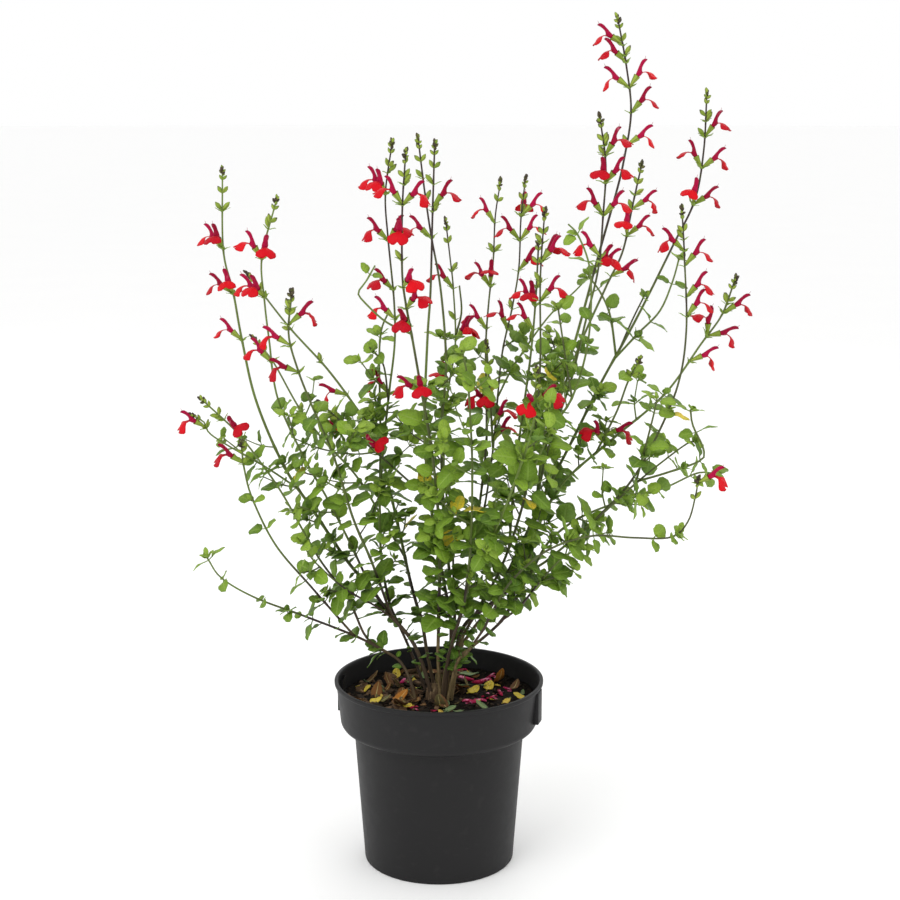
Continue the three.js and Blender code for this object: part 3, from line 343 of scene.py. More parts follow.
      [225, -90, 462]],
     [0.35, 0.98, 2, 14, 11], [], []],
    ["l4", "l1", 1.3,
     [[181, -56, 387], [187, -72, 422], [192, -83, 451], [195, -90, 471]],
     [0.3, 0.98, 2, 15, 11], [], []],
    ["l5", "l1", 1.4,
     [[88, -32, 297], [104, -18, 322], [132, 0, 340], [172, 16, 353], [216, 30, 363], [251, 42, 376],
      [268, 46, 375]],
     [0.25, 0.98, 3, 17, 14], [], []],
    ["l6", "l1", 1.3,
     [[60, -24, 247], [77, -34, 264], [96, -44, 292], [114, -50, 314], [130, -56, 326]],
     [0.5, 0.98, 2, 19, 16], [], []],
  ],
  "stem_low_curved": [
    ["n1", None, 2,
     [[13, -21, 140], [14, -22, 164], [22, -28, 205], [32, -36, 218], [50, -50, 262], [68, -60, 296],
      [100, -72, 328], [139, -82, 344], [176, -92, 345], [209, -102, 348], [223, -108, 364],
      [228, -116, 390], [229, -120, 402]],
     [0.35, 0.85, 3, 17, 13], [[402, -25]], []],
  ],
  "stem_front": [
    ["m1", None, 2,
     [[3, -20, 140], [4, -21, 164], [14, -26, 225], [22, -32, 258], [33, -42, 303], [48, -58, 334],
      [61, -77, 370], [71, -97, 404], [82, -124, 448], [84, -140, 475], [84, -160, 506]],
     [0.28, 0.75, 3, 20, 16], [[478, 250], [478, -25]], []],
    ["m2", "m1", 1.3,
     [[24, -34, 268], [30, -54, 330], [31, -72, 403], [29, -88, 452], [26, -101, 494], [21, -110, 518]],
     [0.25, 0.98, 3, 19, 13], [], []],
  ],
}

# Fallen pieces that have solids: kind, place across and away, turn, length
FALLEN = {
  "fallen_corolla_far": ["corolla", 44, 46, 25, 31],
  "fallen_corolla_near": ["corolla", 38, -7, -15, 27],
  "fallen_corolla_left": ["corolla", -36, 38, 70, 20],
  "fallen_leaf_right": ["leaf", 35, 20, 40, 15],
  "fallen_leaf_edge": ["leaf", 77, 3, 160, 13],
  "fallen_leaf_left": ["leaf", -60, -12, 15, 14],
}


class Draws:
    """The plant's own run of random numbers, so that each piece lands where its solid is."""

    def __init__(self, seed):
        self.state = seed

    def __call__(self, low, high):
        self.state = (self.state * 1664525 + 1013904223) % 4294967296
        return low + (high - low) * self.state / 4294967296


def unit(vector):
    return vector / math.sqrt(vector @ vector)


def share_between(value, low, high):
    """0 up to low, 1 from high on."""
    return min(1.0, max(0.0, (value - low) / (high - low)))


class Route:
    """A smooth line through given points, measured along its chords."""

    def __init__(self, points):
        self.points = np.array(points, float)
        self.reach = [0.0]
        for here, there in zip(self.points, self.points[1:]):
            self.reach.append(self.reach[-1] + math.sqrt((there - here) @ (there - here)))
        self.length = self.reach[-1]
        self.known = {}

    def at(self, distance):
        if distance not in self.known:
            self.known[distance] = self.find(distance)
        return self.known[distance]

    def find(self, distance):
        points, last = self.points, len(self.points) - 1
        i = 0
        while i < last - 1 and distance > self.reach[i + 1]:
            i += 1
        share = share_between(distance, self.reach[i], self.reach[i + 1])
        here, there = points[i], points[i + 1]
        before = points[i - 1] if i > 0 else 2 * here - there
        after = points[i + 2] if i + 2 <= last else 2 * there - here
        leaving, arriving = (there - before) / 2, (after - here) / 2
        bend = 3 * (there - here) - 2 * leaving - arriving
        twist = 2 * (here - there) + leaving + arriving
        return here + leaving * share + bend * share**2 + twist * share**3

    def along(self, distance):
        return unit(self.at(min(self.length, distance + 1)) - self.at(max(0, distance - 1)))


def distance_at_height(route, height):
    best = distance = route.length
    while distance > 0:
        if abs(route.at(distance)[2] - height) < abs(route.at(best)[2] - height):
            best = distance
        if route.at(distance)[2] < height:
            break
        distance -= 1
    return best


def distance_nearest(route, point):
    gaps = [np.linalg.norm(route.at(d) - point) for d in range(int(route.length) + 1)]
    return int(np.argmin(gaps))


def section_distances(route, marks):
    """Where the solid of a shoot has its corners."""

    def is_free(distance):
        return all(abs(mark - distance) > RING_CLEAR for mark in marks)

    def bows_out(start, end):
        low, span = route.at(start), route.at(end) - route.at(start)
        distances = np.arange(start + 4, end, 4)
        if not len(distances):
            return False
        points = np.array([route.at(distance) for distance in distances.tolist()]) - low
        shares = np.clip(points @ span / (span @ span), 0, 1)
        return np.linalg.norm(points - shares[:, None] * span, axis=1).max() > ROUTE_SLACK

    sections = [0]
    start = 0
    while bows_out(start, route.length):
        following = distance = start + RING_STEP
        while distance < route.length and not bows_out(start, distance):
            if is_free(distance):
                following = distance
            distance += 2
        if following > route.length - RING_STEP:
            break
        sections.append(following)
        start = following
    return [*sections, route.length]


def cross_frame(tangent):
    """Two directions square to a shoot: to the side and to the back."""
    side = unit(np.array([-tangent[2], 0, tangent[0]]))
    return side, np.cross(tangent, side)


def turned_outward(tangent, turn):
    side, back = cross_frame(tangent)
    return side * math.cos(turn) + back * math.sin(turn)


def compass_outward(tangent, degrees):
    turn = math.radians(degrees)
    flat = np.array([math.cos(turn), math.sin(turn), 0.0])
    return unit(flat - tangent * (tangent @ flat))


class Stand:
    """Where a leaf or flower is rooted, and its own outward, across and up."""

    def __init__(self, axis, tangent, outward, rise, sunk):
        self.out = outward * math.cos(rise) + tangent * math.sin(rise)
        self.up = unit(tangent - self.out * (tangent @ self.out))
        self.across = np.cross(self.up, self.out)
        self.origin = axis - self.out * sunk / math.cos(rise)

    def put(self, local):
        return self.origin + local @ np.array([self.out, self.across, self.up])


class Shoot:
    """One stem or side shoot of a node, with the leaves, flowers and buds that it carries."""

    def __init__(self, node, row, shoots, draw, tip=TIP_RADIUS):
        name, parent, foot, points, self.leaves, self.flowers, self.buds = row
        points = [list(point) for point in points]
        if parent:
            fork = distance_nearest(shoots[parent].route, points[0])
            points[0] = list(shoots[parent].route.at(fork))
            shoots[parent].marks.append(fork)
        self.name, self.node, self.parent, self.radii = name, node, parent, (foot, tip)
        self.route = Route(points)
        self.twist = draw(0, math.pi / 2)
        self.marks, self.items, self.is_twig = [], [], False
        shoots[name] = self

    def radius(self, distance):
        return self.radii[0] + (self.radii[1] - self.radii[0]) * distance / self.route.length

    def axis(self, distance):
        """The straight-sided axis of this shoot's solid."""
        i = 0
        while i < len(self.sections) - 2 and distance > self.sections[i + 1]:
            i += 1
        low, high = self.sections[i], self.sections[i + 1]
        share = (distance - low) / (high - low)
        return self.route.at(low) * (1 - share) + self.route.at(high) * share

    def shown(self, distance):
        """Where the shoot shows: as its solid, but its foot drawn a little closer to the crown."""
        point = self.route.at(distance)
        if self.node == "stem_left_low":
            return point
        share = CROWDED_SHARE * (1 - share_between(point[2], *CROWDED_HEIGHTS))
        return point + (np.array([*CROWN, point[2]]) - point) * share

    def stand(self, distance, outward, rise, axis=None):
        """Where something grows: from the shoot as it shows, or from a given point of its axis."""
        axis = self.shown(distance) if axis is None else axis
        sunk = ROOT_DEPTH * self.radius(distance)
        return Stand(axis, self.route.along(distance), outward, rise, sunk)


def list_items(shoots, draw):
    """What each shoot carries, in the order in which the plant's draws were made."""
    for shoot in shoots:
        for height, degrees in shoot.flowers:
            distance = distance_at_height(shoot.route, height)
            shoot.items.append({"kind": "flower", "distance": distance, "degrees": degrees,
                                "rise": draw(0.72, 0.95), "droop": draw(-0.15, 0.2)})
        for height, degrees in shoot.buds:
            distance = distance_at_height(shoot.route, height)
            shoot.items.append({"kind": "bud", "distance": distance, "degrees": degrees,
                                "rise": draw(0.8, 1.1)})
    for shoot in shoots:
        if not shoot.leaves:
            continue
        start, end, pairs, first, last = shoot.leaves
        for i in range(pairs):
            share = i / (pairs - 1) if pairs > 1 else 0.5
            distance = (start + (end - start) * share) * shoot.route.length
            turn = shoot.twist + i * math.pi / 2 + draw(-0.2, 0.2)
            for half in (0, math.pi):
                shoot.items.append({"kind": "leaf", "distance": distance, "turn": turn + half,
                                    "size": (first + (last - first) * share) * draw(0.88, 1.15),
                                    "rise": draw(0.15, 0.6), "droop": draw(0.1, 0.4)})


def ways_to_stand(shoot, item):
    """The ways in which a leaf or flower may be turned clear of its neighbours, in order."""
    tangent = shoot.route.along(item["distance"])
    if item["kind"] == "leaf":
        for lift in LEAF_RISES:
            for degrees in LEAF_TURNS:
                outward = turned_outward(tangent, item["turn"] + math.radians(degrees))
                yield outward, item["rise"] + lift
    else:
        for degrees in FLOWER_TURNS:
            yield compass_outward(tangent, item["degrees"] + degrees), item["rise"]


def turned_to_light(stand, luck):
    """Rolls a leaf about its own line, so that its face looks more outwards from the plant."""
    away = np.array([stand.origin[0], stand.origin[1], 0.0])
    away = away / (math.sqrt(away @ away) + 40) * 0.9
    stray = np.array([luck.uniform(-0.7, 0.7), luck.uniform(-0.7, 0.7), 0.8])
    light = away + stray
    light = unit(light - stand.out * (light @ stand.out) + stand.up * 0.05)
    share = luck.uniform(0.4, 1)
    stand.up = unit(stand.up * (1 - share) + light * share)
    stand.up = unit(stand.up - stand.out * (stand.up @ stand.out))
    stand.across = np.cross(stand.up, stand.out)
    return stand


def tip_of(item):
    if item["kind"] == "leaf":
        return np.array([(1 + LEAF_PETIOLE) * item["size"], 0, -item["droop"] * item["size"]])
    if item["kind"] == "bud":
        return np.array([BUD_LENGTH, 0.0, 0.0])
    return np.array([THROAT_AT + HOOD_LENGTH, 0, HOOD_TIP_HEIGHT])


def settle_items(shoots, corners):
    """Keeps each item that has a solid, with the way in which that solid stands."""
    for shoot in shoots:
        carried = [item["distance"] for item in shoot.items]
        shoot.sections = section_distances(shoot.route, [*shoot.marks, *carried])
        kept = []
        for item in shoot.items:
            found = []
            for outward, rise in ways_to_stand(shoot, item):
                axis = shoot.axis(item["distance"])
                tip = shoot.stand(item["distance"], outward, rise, axis).put(tip_of(item))
                gap = corners[shoot.node].find(tip * MM)[2] / MM
                found.append((gap, len(found), outward, rise))
            gap, _, outward, rise = min(found, key=lambda way: way[:2])
            if gap < TIP_MATCH or item["kind"] == "flower":
                item["stand"] = shoot.stand(item["distance"], outward, rise)
                item["outward"] = outward
                kept.append(item)
        shoot.items = kept


# Shapes: each is modelled once, in its own measure, and then placed many times
def meshed(bm, name):
    mesh = bpy.data.meshes.new(name)
    bm.to_mesh(mesh)
    bm.free()
    return mesh


def in_scene(name, data):
    item = bpy.data.objects.new(name, data)
    bpy.context.scene.collection.objects.link(item)
    return item


def eased(bm, edges, offset, segments):
    bmesh.ops.bevel(bm, geom=edges, offset=offset, offset_type="OFFSET", segments=segments,
                    profile=0.5, material=-1, affect="EDGES")


def spun_round(x, y, z, degrees):
    """A point turned round the upright axis."""
    turn = math.radians(degrees)
    return x * math.cos(turn) - y * math.sin(turn), x * math.sin(turn) + y * math.cos(turn), z


def new_shape():
    bm = bmesh.new()
    for mark in ("along", "across", "tone"):
        bm.verts.layers.float.new(mark)
    return bm


def edges_round(ring):
    """The edges of a ring of points, in its order."""
    pairs = zip(ring, [*ring[1:], ring[0]])
    return [next(edge for edge in a.link_edges if edge.other_vert(a) == b) for a, b in pairs]


def tube(bm, rings, tones=None):
    """Extrudes a ring through the given rings of points and closes both ends."""
    along, across, tone = (bm.verts.layers.float[mark] for mark in ("along", "across", "tone"))
    ring = list(bmesh.ops.create_circle(bm, segments=len(rings[0]), radius=1)["verts"])
    bmesh.ops.edgeloop_fill(bm, edges=edges_round(ring))
    for step, places in enumerate(rings):
        if step:
            made = bmesh.ops.extrude_edge_only(bm, edges=edges_round(ring))["geom"]
            fresh = {part for part in made if isinstance(part, bmesh.types.BMVert)}
            ring = [next(edge.other_vert(vert) for edge in vert.link_edges
                         if edge.other_vert(vert) in fresh) for vert in ring]
        for i, (vert, spot) in enumerate(zip(ring, places)):
            vert.co = spot
            vert[along] = step / (len(rings) - 1)
            vert[across] = i % 2
            vert[tone] = tones[step] if tones else 0.0
    bmesh.ops.edgeloop_fill(bm, edges=edges_round(ring))


def round_ring(x, radius, sides, rise=0.0, squeeze=1.0):
    """A ring square to X, its middle at height rise, narrowed sideways by squeeze."""
    turns = [2 * math.pi * i / sides for i in range(sides)]
    return [(x, squeeze * radius * math.sin(t), rise + radius * math.cos(t)) for t in turns]


class Form:
    """A shape that is repeated: its mesh, its points and the marks that its finish reads."""

    def __init__(self, bm):
        bmesh.ops.recalc_face_normals(bm, faces=bm.faces)
        layers = bm.verts.layers.float
        self.points = np.array([vert.co[:] for vert in bm.verts])
        self.along = np.array([vert[layers["along"]] for vert in bm.verts])
        self.across = np.array([vert[layers["across"]] for vert in bm.verts])
        for name in ("along", "across", "tone"):
            layers.remove(layers[name])
        self.mesh = meshed(bm, "form")


def blade_form(columns, rows):
    """A thin closed sheet: along from 0 to 1, across from -1 to 1, its two faces at 1 and -1."""
    bm = new_shape()
    bmesh.ops.create_grid(bm, x_segments=columns, y_segments=rows, size=1)
    bmesh.ops.solidify(bm, geom=bm.faces[:], thickness=-1)
    along, across = bm.verts.layers.float["along"], bm.verts.layers.float["across"]
    heights = [vert.co.z for vert in bm.verts]
    low, high = min(heights), max(heights)
    for vert in bm.verts:
        vert[along] = (vert.co.x + 1) / 2
        vert[across] = vert.co.y
        vert.co.z = 2 * (vert.co.z - low) / (high - low) - 1
    return Form(bm)


def tube_form(rings):
    bm = new_shape()
    tube(bm, rings)
    return Form(bm)


LEAF_BLADE = blade_form(8, 2)
SMALL_BLADE = blade_form(5, 2)
DRY_BLADE = blade_form(8, 4)
LIP_BLADE = blade_form(7, 8)
STALK = tube_form([round_ring(x, 1, 4) for x in (0, 0.5, 1)])
CALYX_RINGS = [(0, 0.5, 0), (1.6, 0.6, 0), (3.2, 1.1, 0), (6, 1.75, 0.1), (9, 2.35, 0.2),
               (12, 2.95, 0.3), (13.6, 3.3, 0.4), (12, 2.5, 0.3), (8, 1.6, 0.2)]
CALYX = tube_form([round_ring(x, r, 10, rise, 0.86) for x, r, rise in CALYX_RINGS])
# Corolla: place along its line, half height, middle, width against height
HOOD_RINGS = [(9, 1.3, 0.2, 1), (13, 1.9, 0.3, 1), (16, 2.5, 0.2, 1.05), (18.6, 2.9, 0.4, 1.05),
              (20.4, 2.0, 1.8, 1.3), (22.5, 1.6, 2.6, 1.4), (25.5, 1.7, 3.2, 1.4),
              (28, 1.7, 3.2, 1.35), (29.8, 1.4, 2.7, 1.2), (30.9, 0.8, 1.9, 1)]
HOOD = tube_form([round_ring(x, r, 8, rise, wide) for x, r, rise, wide in HOOD_RINGS])
STYLE = tube_form([round_ring(x, r, 4, rise) for x, r, rise in
                   ((28, 0.25, 2.9), (30.6, 0.22, 3.6), (32.6, 0.16, 4.6))])
BUD_RINGS = [(0, 0.22), (0.16, 0.25), (0.3, 0.62), (0.5, 1.0), (0.7, 0.98), (0.86, 0.62), (1, 0.16)]
BUD = tube_form([round_ring(x, r, 7, 0, 0.9) for x, r in BUD_RINGS])
KERNEL = tube_form([round_ring(x, r, 6) for x, r in
                    ((0, 0.35), (0.25, 0.85), (0.55, 1.0), (0.8, 0.7), (1, 0.2))])


class Bunch:
    """Many small shapes of one finish, gathered into a single mesh."""

    def __init__(self):
        self.bm = bmesh.new()
        self.marks = {"along": [], "across": [], "tint": [], "tone": [], "under": []}

    def add(self, form, points, tint, tone=0.0, under=None):
        form.mesh.vertices.foreach_set("co", (points * MM).astype(np.float32).ravel())
        self.bm.from_mesh(form.mesh)
        count = len(points)
        self.marks["along"].append(form.along)
        self.marks["across"].append(form.across)
        self.marks["tint"].append(np.full(count, tint))
        self.marks["tone"].append(np.full(count, tone))
        self.marks["under"].append(np.zeros(count) if under is None else under)

    def show(self, name, finish, slot, node=None):
        mesh = meshed(self.bm, name)
        for mark, values in self.marks.items():
            layer = mesh.attributes.new(mark, "FLOAT", "POINT")
            layer.data.foreach_set("value", np.concatenate(values).astype(np.float32))
        place(name, mesh, finish, slot, node)


def place(name, mesh, finish, slot, node=None):
    mesh.materials.append(finish.material)
    mesh.shade_smooth()
    piece = in_scene(name, mesh)
    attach(piece, "root")
    if node:
        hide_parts(node)


# Leaves: places along the blade, and its half width at each, as shares of its length
LEAF_COLUMNS = np.array([0, 0.06, 0.16, 0.3, 0.46, 0.62, 0.78, 0.92, 1])
LEAF_WIDTHS = np.array([0.06, 0.25, 0.37, 0.42, 0.42, 0.39, 0.315, 0.19, 0.05])
BRACT_WIDTHS = np.array([0.07, 0.15, 0.22, 0.25, 0.225, 0.17, 0.105, 0.05, 0.02])


def blade_points(form, size, stalk, droop, fold, widths, wave):
    """Bends the flat sheet into a leaf: outline, teeth, fold along the midrib and droop."""
    step = form.along * (len(LEAF_COLUMNS) - 1)
    along = np.interp(step, np.arange(len(LEAF_COLUMNS)), LEAF_COLUMNS)
    half = np.interp(along, LEAF_COLUMNS, widths)
    teeth = 1 + 0.045 * np.cos(math.pi * step) * (np.abs(form.across) > 0.9)
    x = stalk + along * size
    y = form.across * half * teeth * size
    ripple = 0.04 * size * np.sin(9 * along + wave) * form.across**2
    sag = droop * size * (x / (stalk + size)) ** 2
    z = form.points[:, 2] * LEAF_THICKNESS / 2 + fold * np.abs(y) + ripple - sag
    return np.stack([x, y, z], 1)


def stalk_points(length, radius, sag):
    x = STALK.points[:, 0] * length
    return np.stack([x, STALK.points[:, 1] * radius, STALK.points[:, 2] * radius - sag(x)], 1)


def light_at(spot):
    """1 in the open, down to 0.1 for leaves low in the middle of the plant."""
    reach = math.hypot(spot[0], spot[1])
    return max(0.1, share_between(spot[2], *SHADED_HEIGHTS), share_between(reach, *SHADED_REACHES))


def add_blade(bunch, form, stand, points, tint, tone):
    under = (form.points[:, 2] < 0).astype(float)
    bunch.add(form, stand.put(points), tint, tone, under)


def add_leaf(bunch, stand, size, droop, luck, tone, widths=LEAF_WIDTHS, petiole=LEAF_PETIOLE):
    stalk = petiole * size
    if widths is LEAF_WIDTHS:
        stand = turned_to_light(stand, luck)
    form = LEAF_BLADE if size > FULL_FORM_FROM else SMALL_BLADE
    wave = luck.uniform(0, 6)
    # Painted shade: the random tint partly stands for leaves in shade, and light_at darkens it further
    # for leaves low in the middle of the plant.
    tint = luck.random() * light_at(stand.origin)
    points = blade_points(form, size, stalk, droop, LEAF_FOLD, widths, wave)
    add_blade(bunch, form, stand, points, tint, tone)
    reach = stalk + size
    sag = lambda x: droop * size * (x / reach) ** 2
    radius = 0.32 + 0.014 * size
    bunch.add(STALK, stand.put(stalk_points(stalk + 0.1 * size, radius, sag)), tint, tone)


# Flowers
LIP_STEPS = np.array([0, 0.14, 0.3, 0.42, 0.56, 0.72, 0.88, 1])
LIP_WIDTHS = np.array([0.2, 0.17, 0.24, 0.62, 0.95, 1.0, 0.85, 0.5])


def lip_points(droop, luck):
    """The broad lower lip: a narrow neck, then two rounded lobes with a notch between them."""
    step = LIP_BLADE.along * (len(LIP_STEPS) - 1)
    along = np.interp(step, np.arange(len(LIP_STEPS)), LIP_STEPS)
    half = np.interp(along, LIP_STEPS, LIP_WIDTHS) * LIP_WIDTH / 2
    side = np.abs(LIP_BLADE.across)
    width = LIP_BLADE.across * half
    notch = 0.2 * np.clip((along - 0.62) / 0.38, 0, 1) * np.exp(-((side / 0.33) ** 2))
    reach = 1.08 * LIP_LENGTH * (along - notch)
    fold = luck.uniform(0.18, 0.42) * np.abs(width) ** 1.2 * np.clip(2 * along - 0.5, 0, 1)
    ruffle = 0.4 * np.sin(9 * side + 6 * along + luck.uniform(0, 6)) * along
    lift = ruffle - fold + LIP_BLADE.points[:, 2] * 0.3
    bend = 0.62 + 0.62 * along + droop
    curl = bend + 0.62 * along
    x = THROAT_AT - 0.5 + reach * np.cos(bend) + lift * np.sin(curl)
    z = -reach * np.sin(bend) + lift * np.cos(curl) - 0.8
    return np.stack([x, 1.04 * width, z], 1)


def add_flower(calyces, petals, item, luck):
    stand = item["stand"]
    tint = luck.random()
    calyces.add(CALYX, stand.put(CALYX.points), tint, 0.2)
    petals.add(HOOD, stand.put(HOOD.points), tint, 0.0)
    petals.add(LIP_BLADE, stand.put(lip_points(item["droop"], luck)), tint, 1.0)
    petals.add(STYLE, stand.put(STYLE.points), tint, 0.3)


def add_bud(calyces, form, stand, length, radius, tint, tone):
    calyces.add(form, stand.put(form.points * np.array([length, radius, radius])), tint, tone)


def add_tip_cluster(calyces, shoot, luck):
    """Closed buds crowded at the end of a flowering shoot."""
    length = shoot.route.length
    tangent = shoot.route.along(length)
    tip = shoot.route.at(length)
    for i in range(TIP_KERNELS):
        turned = turned_outward(tangent, shoot.twist + i * 2.4 + luck.uniform(-0.3, 0.3))
        rise = 1.3 - 0.11 * i + luck.uniform(-0.15, 0.15)
        stand = Stand(tip + tangent * (4.6 - 0.9 * i), tangent, turned, rise, 0)
        size = luck.uniform(3.4, 5.4)
        add_bud(calyces, KERNEL, stand, size, 0.32 * size, luck.random(), luck.choice((0.2, 0.8, 1.0)))
    for back, size in ((6, 7), (18, 10)):  # a pair of larger buds at each distance from the tip
        for side in (0, math.pi):
            turned = turned_outward(tangent, shoot.twist + back + side)
            stand = shoot.stand(length - back, turned, luck.uniform(0.75, 1.05))
            add_bud(calyces, BUD, stand, size, 0.21 * size, luck.random(), luck.uniform(0.1, 0.4))


# Stems
def stem_rings(shoot):
    """Squarish sections along a shoot, a little swollen where it carries something.

    The shoot's own twist also sets how woody its foot looks and how green its tip. Its foot's tone,
    from dark brown to light olive-tan, is partly painted light: olive-tan stems are painted as lit and
    dark brown ones as shaded. Flowering tips are dusky, but for some at the far left."""
    length = shoot.route.length
    # Painted light in part: the cap on each foot's tone paints some stems light olive-tan as if lit,
    # and others dark brown as if shaded.
    foot_age_and_light, greenest = 0.5 + 0.22 * shoot.twist, 0.2 * shoot.twist - 0.02
    dusky = shoot.route.at(length)[0] > -100 or shoot.twist > 1.1
    places = np.linspace(0, length, max(4, int(length / STEM_STEP)))
    knots = np.array([item["distance"] for item in shoot.items] + shoot.marks + [-100])
    rings, tones = [], []
    for distance in places:
        tangent = shoot.route.along(distance)
        swell = 1 + 0.25 * math.exp(-((np.abs(knots - distance).min() / 2.5) ** 2))
        radius = shoot.radius(distance) ** 0.82 * swell * STEM_SLIMMER
        center = shoot.shown(distance)
        ring = []
        for i in range(8):
            turn = shoot.twist + i * math.pi / 4
            spoke = turned_outward(tangent, turn) * radius * (1.14 if i % 2 else 0.94)
            ring.append(tuple((center + spoke) * MM))
        rings.append(ring)
        share = wood_share(center[2], distance, radius, dusky and shoot.flowers)
        tones.append(min(foot_age_and_light, max(greenest, share)))
    return rings, tones


def wood_share(height, distance, radius, flowering):
    """0 on soft green growth, 0.35 where purple-brown, 1 on the old wood at the foot."""
    low = max(0.0, (WOOD_HEIGHT - height) / 130) * min(1.0, max(0.0, 1.5 - distance / 160))
    high = max(0.0, (height - 480) / 120) if flowering else 0
    return max(0.75 * low + 0.08 * radius, min(0.36, 0.36 * high))


def make_stems(node, shoots):
    bm = new_shape()
    for shoot in shoots:
        tube(bm, *stem_rings(shoot))
    if node == "stem_left":
        add_crown(bm)
    bmesh.ops.recalc_face_normals(bm, faces=bm.faces)
    place(node + "_wood", meshed(bm, node + "_wood"), STEM_BARK, "stem", node)


def add_crown(bm):
    """The knobby woody crown that the stems spring from."""
    crown = bmesh.ops.create_icosphere(bm, subdivisions=4, radius=1)["verts"]
    tone = bm.verts.layers.float["tone"]
    for vert in crown:
        lump = 0.92 + 0.22 * noise.noise(vert.co * 2.3) + 0.08 * noise.noise(vert.co * 7)
        spun = spun_round(*(vert.co[i] * KNOB_SIZE[i] * lump for i in range(3)), KNOB_TURN)
        vert.co = [(KNOB_PLACE[i] + spun[i]) * MM for i in range(3)]
        vert[tone] = 1.0


# Finishes
class Wire:
    """One output of a finish's nodes, on which sums can be made."""

    def __init__(self, finish, socket):
        self.finish, self.socket = finish, socket

    def maths(self, operation, first, second=0.0):
        return self.finish.add("ShaderNodeMath", {"operation": operation}, {0: first, 1: second})

    def __add__(self, other):
        return self.maths("ADD", self, other)

    def __sub__(self, other):
        return self.maths("SUBTRACT", self, other)

    def __rsub__(self, other):
        return self.maths("SUBTRACT", other, self)

    def __mul__(self, other):
        return self.maths("MULTIPLY", self, other)

    __radd__, __rmul__ = __add__, __mul__

    def __abs__(self):
        return self.maths("ABSOLUTE", self)

    def wave(self):
        return self.maths("SINE", self)

    def step(self, low, high):
        """0 up to low, 1 from high on, and smooth between them."""
        values = {"Value": self, "From Min": low, "From Max": high}
        return self.finish.add("ShaderNodeMapRange", {"interpolation_type": "SMOOTHSTEP"}, values)


class Finish:
    """A procedural material, put together from nodes."""

    def __init__(self, name, roughness, specular=0.5):
        self.material = bpy.data.materials.new(name)
        self.material.use_nodes = True
        self.tree = self.material.node_tree
        self.shader = self.tree.nodes["Principled BSDF"]
        self.shader.inputs["Roughness"].default_value = roughness
        self.shader.inputs["Specular IOR Level"].default_value = specular
        self.place = self.add("ShaderNodeTexCoord", output="Object")

    def add(self, kind, settings=None, sockets=None, output=0):
        node = self.tree.nodes.new(kind)
        for name, value in (settings or {}).items():
            if name == "stops":
                ramp = node.color_ramp.elements
                while len(ramp) < len(value):
                    ramp.new(0.5)
                for stop, (position, color) in zip(ramp, value):
                    stop.position, stop.color = position, (*color, 1)
            else:
                setattr(node, name, value)
        for name, value in (sockets or {}).items():
            if isinstance(value, Wire):
                self.tree.links.new(value.socket, node.inputs[name])
            else:
                node.inputs[name].default_value = value
        return Wire(self, node.outputs[output])

    def mark(self, name):
        return self.add("ShaderNodeAttribute", {"attribute_name": name}, output="Fac")

    def mix(self, share, low, high):
        colors = [color if isinstance(color, Wire) else (*color, 1) for color in (low, high)]
        sockets = {0: share, 6: colors[0], 7: colors[1]}
        return self.add("ShaderNodeMix", {"data_type": "RGBA"}, sockets, 2)

    def speckle(self, scale, detail=3.0, place=None):
        sockets = {"Vector": place or self.place, "Scale": scale, "Detail": detail}
        return self.add("ShaderNodeTexNoise", None, sockets)

    def stretched(self, scale):
        return self.add("ShaderNodeMapping", None, {"Vector": self.place, "Scale": scale})

    def dress(self, color, roughness=None, height=None, depth=0.0):
        """Links the colour, the roughness and a relief of the given depth in millimetres."""
        self.tree.links.new(color.socket, self.shader.inputs["Base Color"])
        if roughness:
            self.tree.links.new(roughness.socket, self.shader.inputs["Roughness"])
        if height:
            bump = self.add("ShaderNodeBump", None, {"Distance": depth * MM, "Height": height})
            self.tree.links.new(bump.socket, self.shader.inputs["Normal"])
        return self


def pot_plastic():
    finish = Finish("charcoal_moulded_plastic", 0.5, 0.17)
    cloud = finish.speckle(14)
    dust = finish.speckle(90, 5)
    scuffs = finish.speckle(60, 4, finish.stretched((1, 1, 9))).step(0.66, 0.78)
    color = finish.mix(cloud, (0.0118, 0.0115, 0.012), (0.0155, 0.0152, 0.0158))
    color = finish.mix(dust.step(0.55, 0.8) * 0.3, color, (0.032, 0.031, 0.03))
    color = finish.mix(scuffs * 0.2, color, (0.06, 0.06, 0.06))
    grain = finish.speckle(1400, 2) * 0.4 + cloud
    return finish.dress(color, 0.42 + dust * 0.18 + scuffs * 0.1, grain, 0.12)


def potting_mix():
    finish = Finish("peaty_mix", 0.9, 0.06)
    crumbs = finish.speckle(260, 6)
    damp = finish.speckle(30, 3)
    color = finish.mix(crumbs.step(0.35, 0.75), (0.0035, 0.003, 0.0025), (0.024, 0.016, 0.011))
    color = finish.mix(damp.step(0.45, 0.7) * 0.6, color, (0.006, 0.005, 0.004))
    color = finish.mix(finish.speckle(900, 2).step(0.68, 0.76) * 0.7, color, (0.12, 0.085, 0.05))
    return finish.dress(color, 0.95 - damp * 0.25, crumbs + finish.speckle(900, 3) * 0.5, 1.6)


def bark():
    finish = Finish("bark_chip", 0.85, 0.12)
    tint, tone = finish.mark("tint"), finish.mark("tone")
    fibres = finish.speckle(220, 5, finish.stretched((0.5, 1.6, 3)))
    color = finish.mix(tint, (0.016, 0.01, 0.006), (0.17, 0.1, 0.055))
    color = finish.mix(tone, color, (0.006, 0.005, 0.004))
    color = finish.mix(fibres.step(0.55, 0.72) * 0.5 * (1 - tone), color, (0.3, 0.2, 0.12))
    color = finish.mix(fibres.step(0.52, 0.3) * 0.7, color, (0.012, 0.008, 0.006))
    return finish.dress(color, 0.7 + fibres * 0.25, fibres, 0.8)


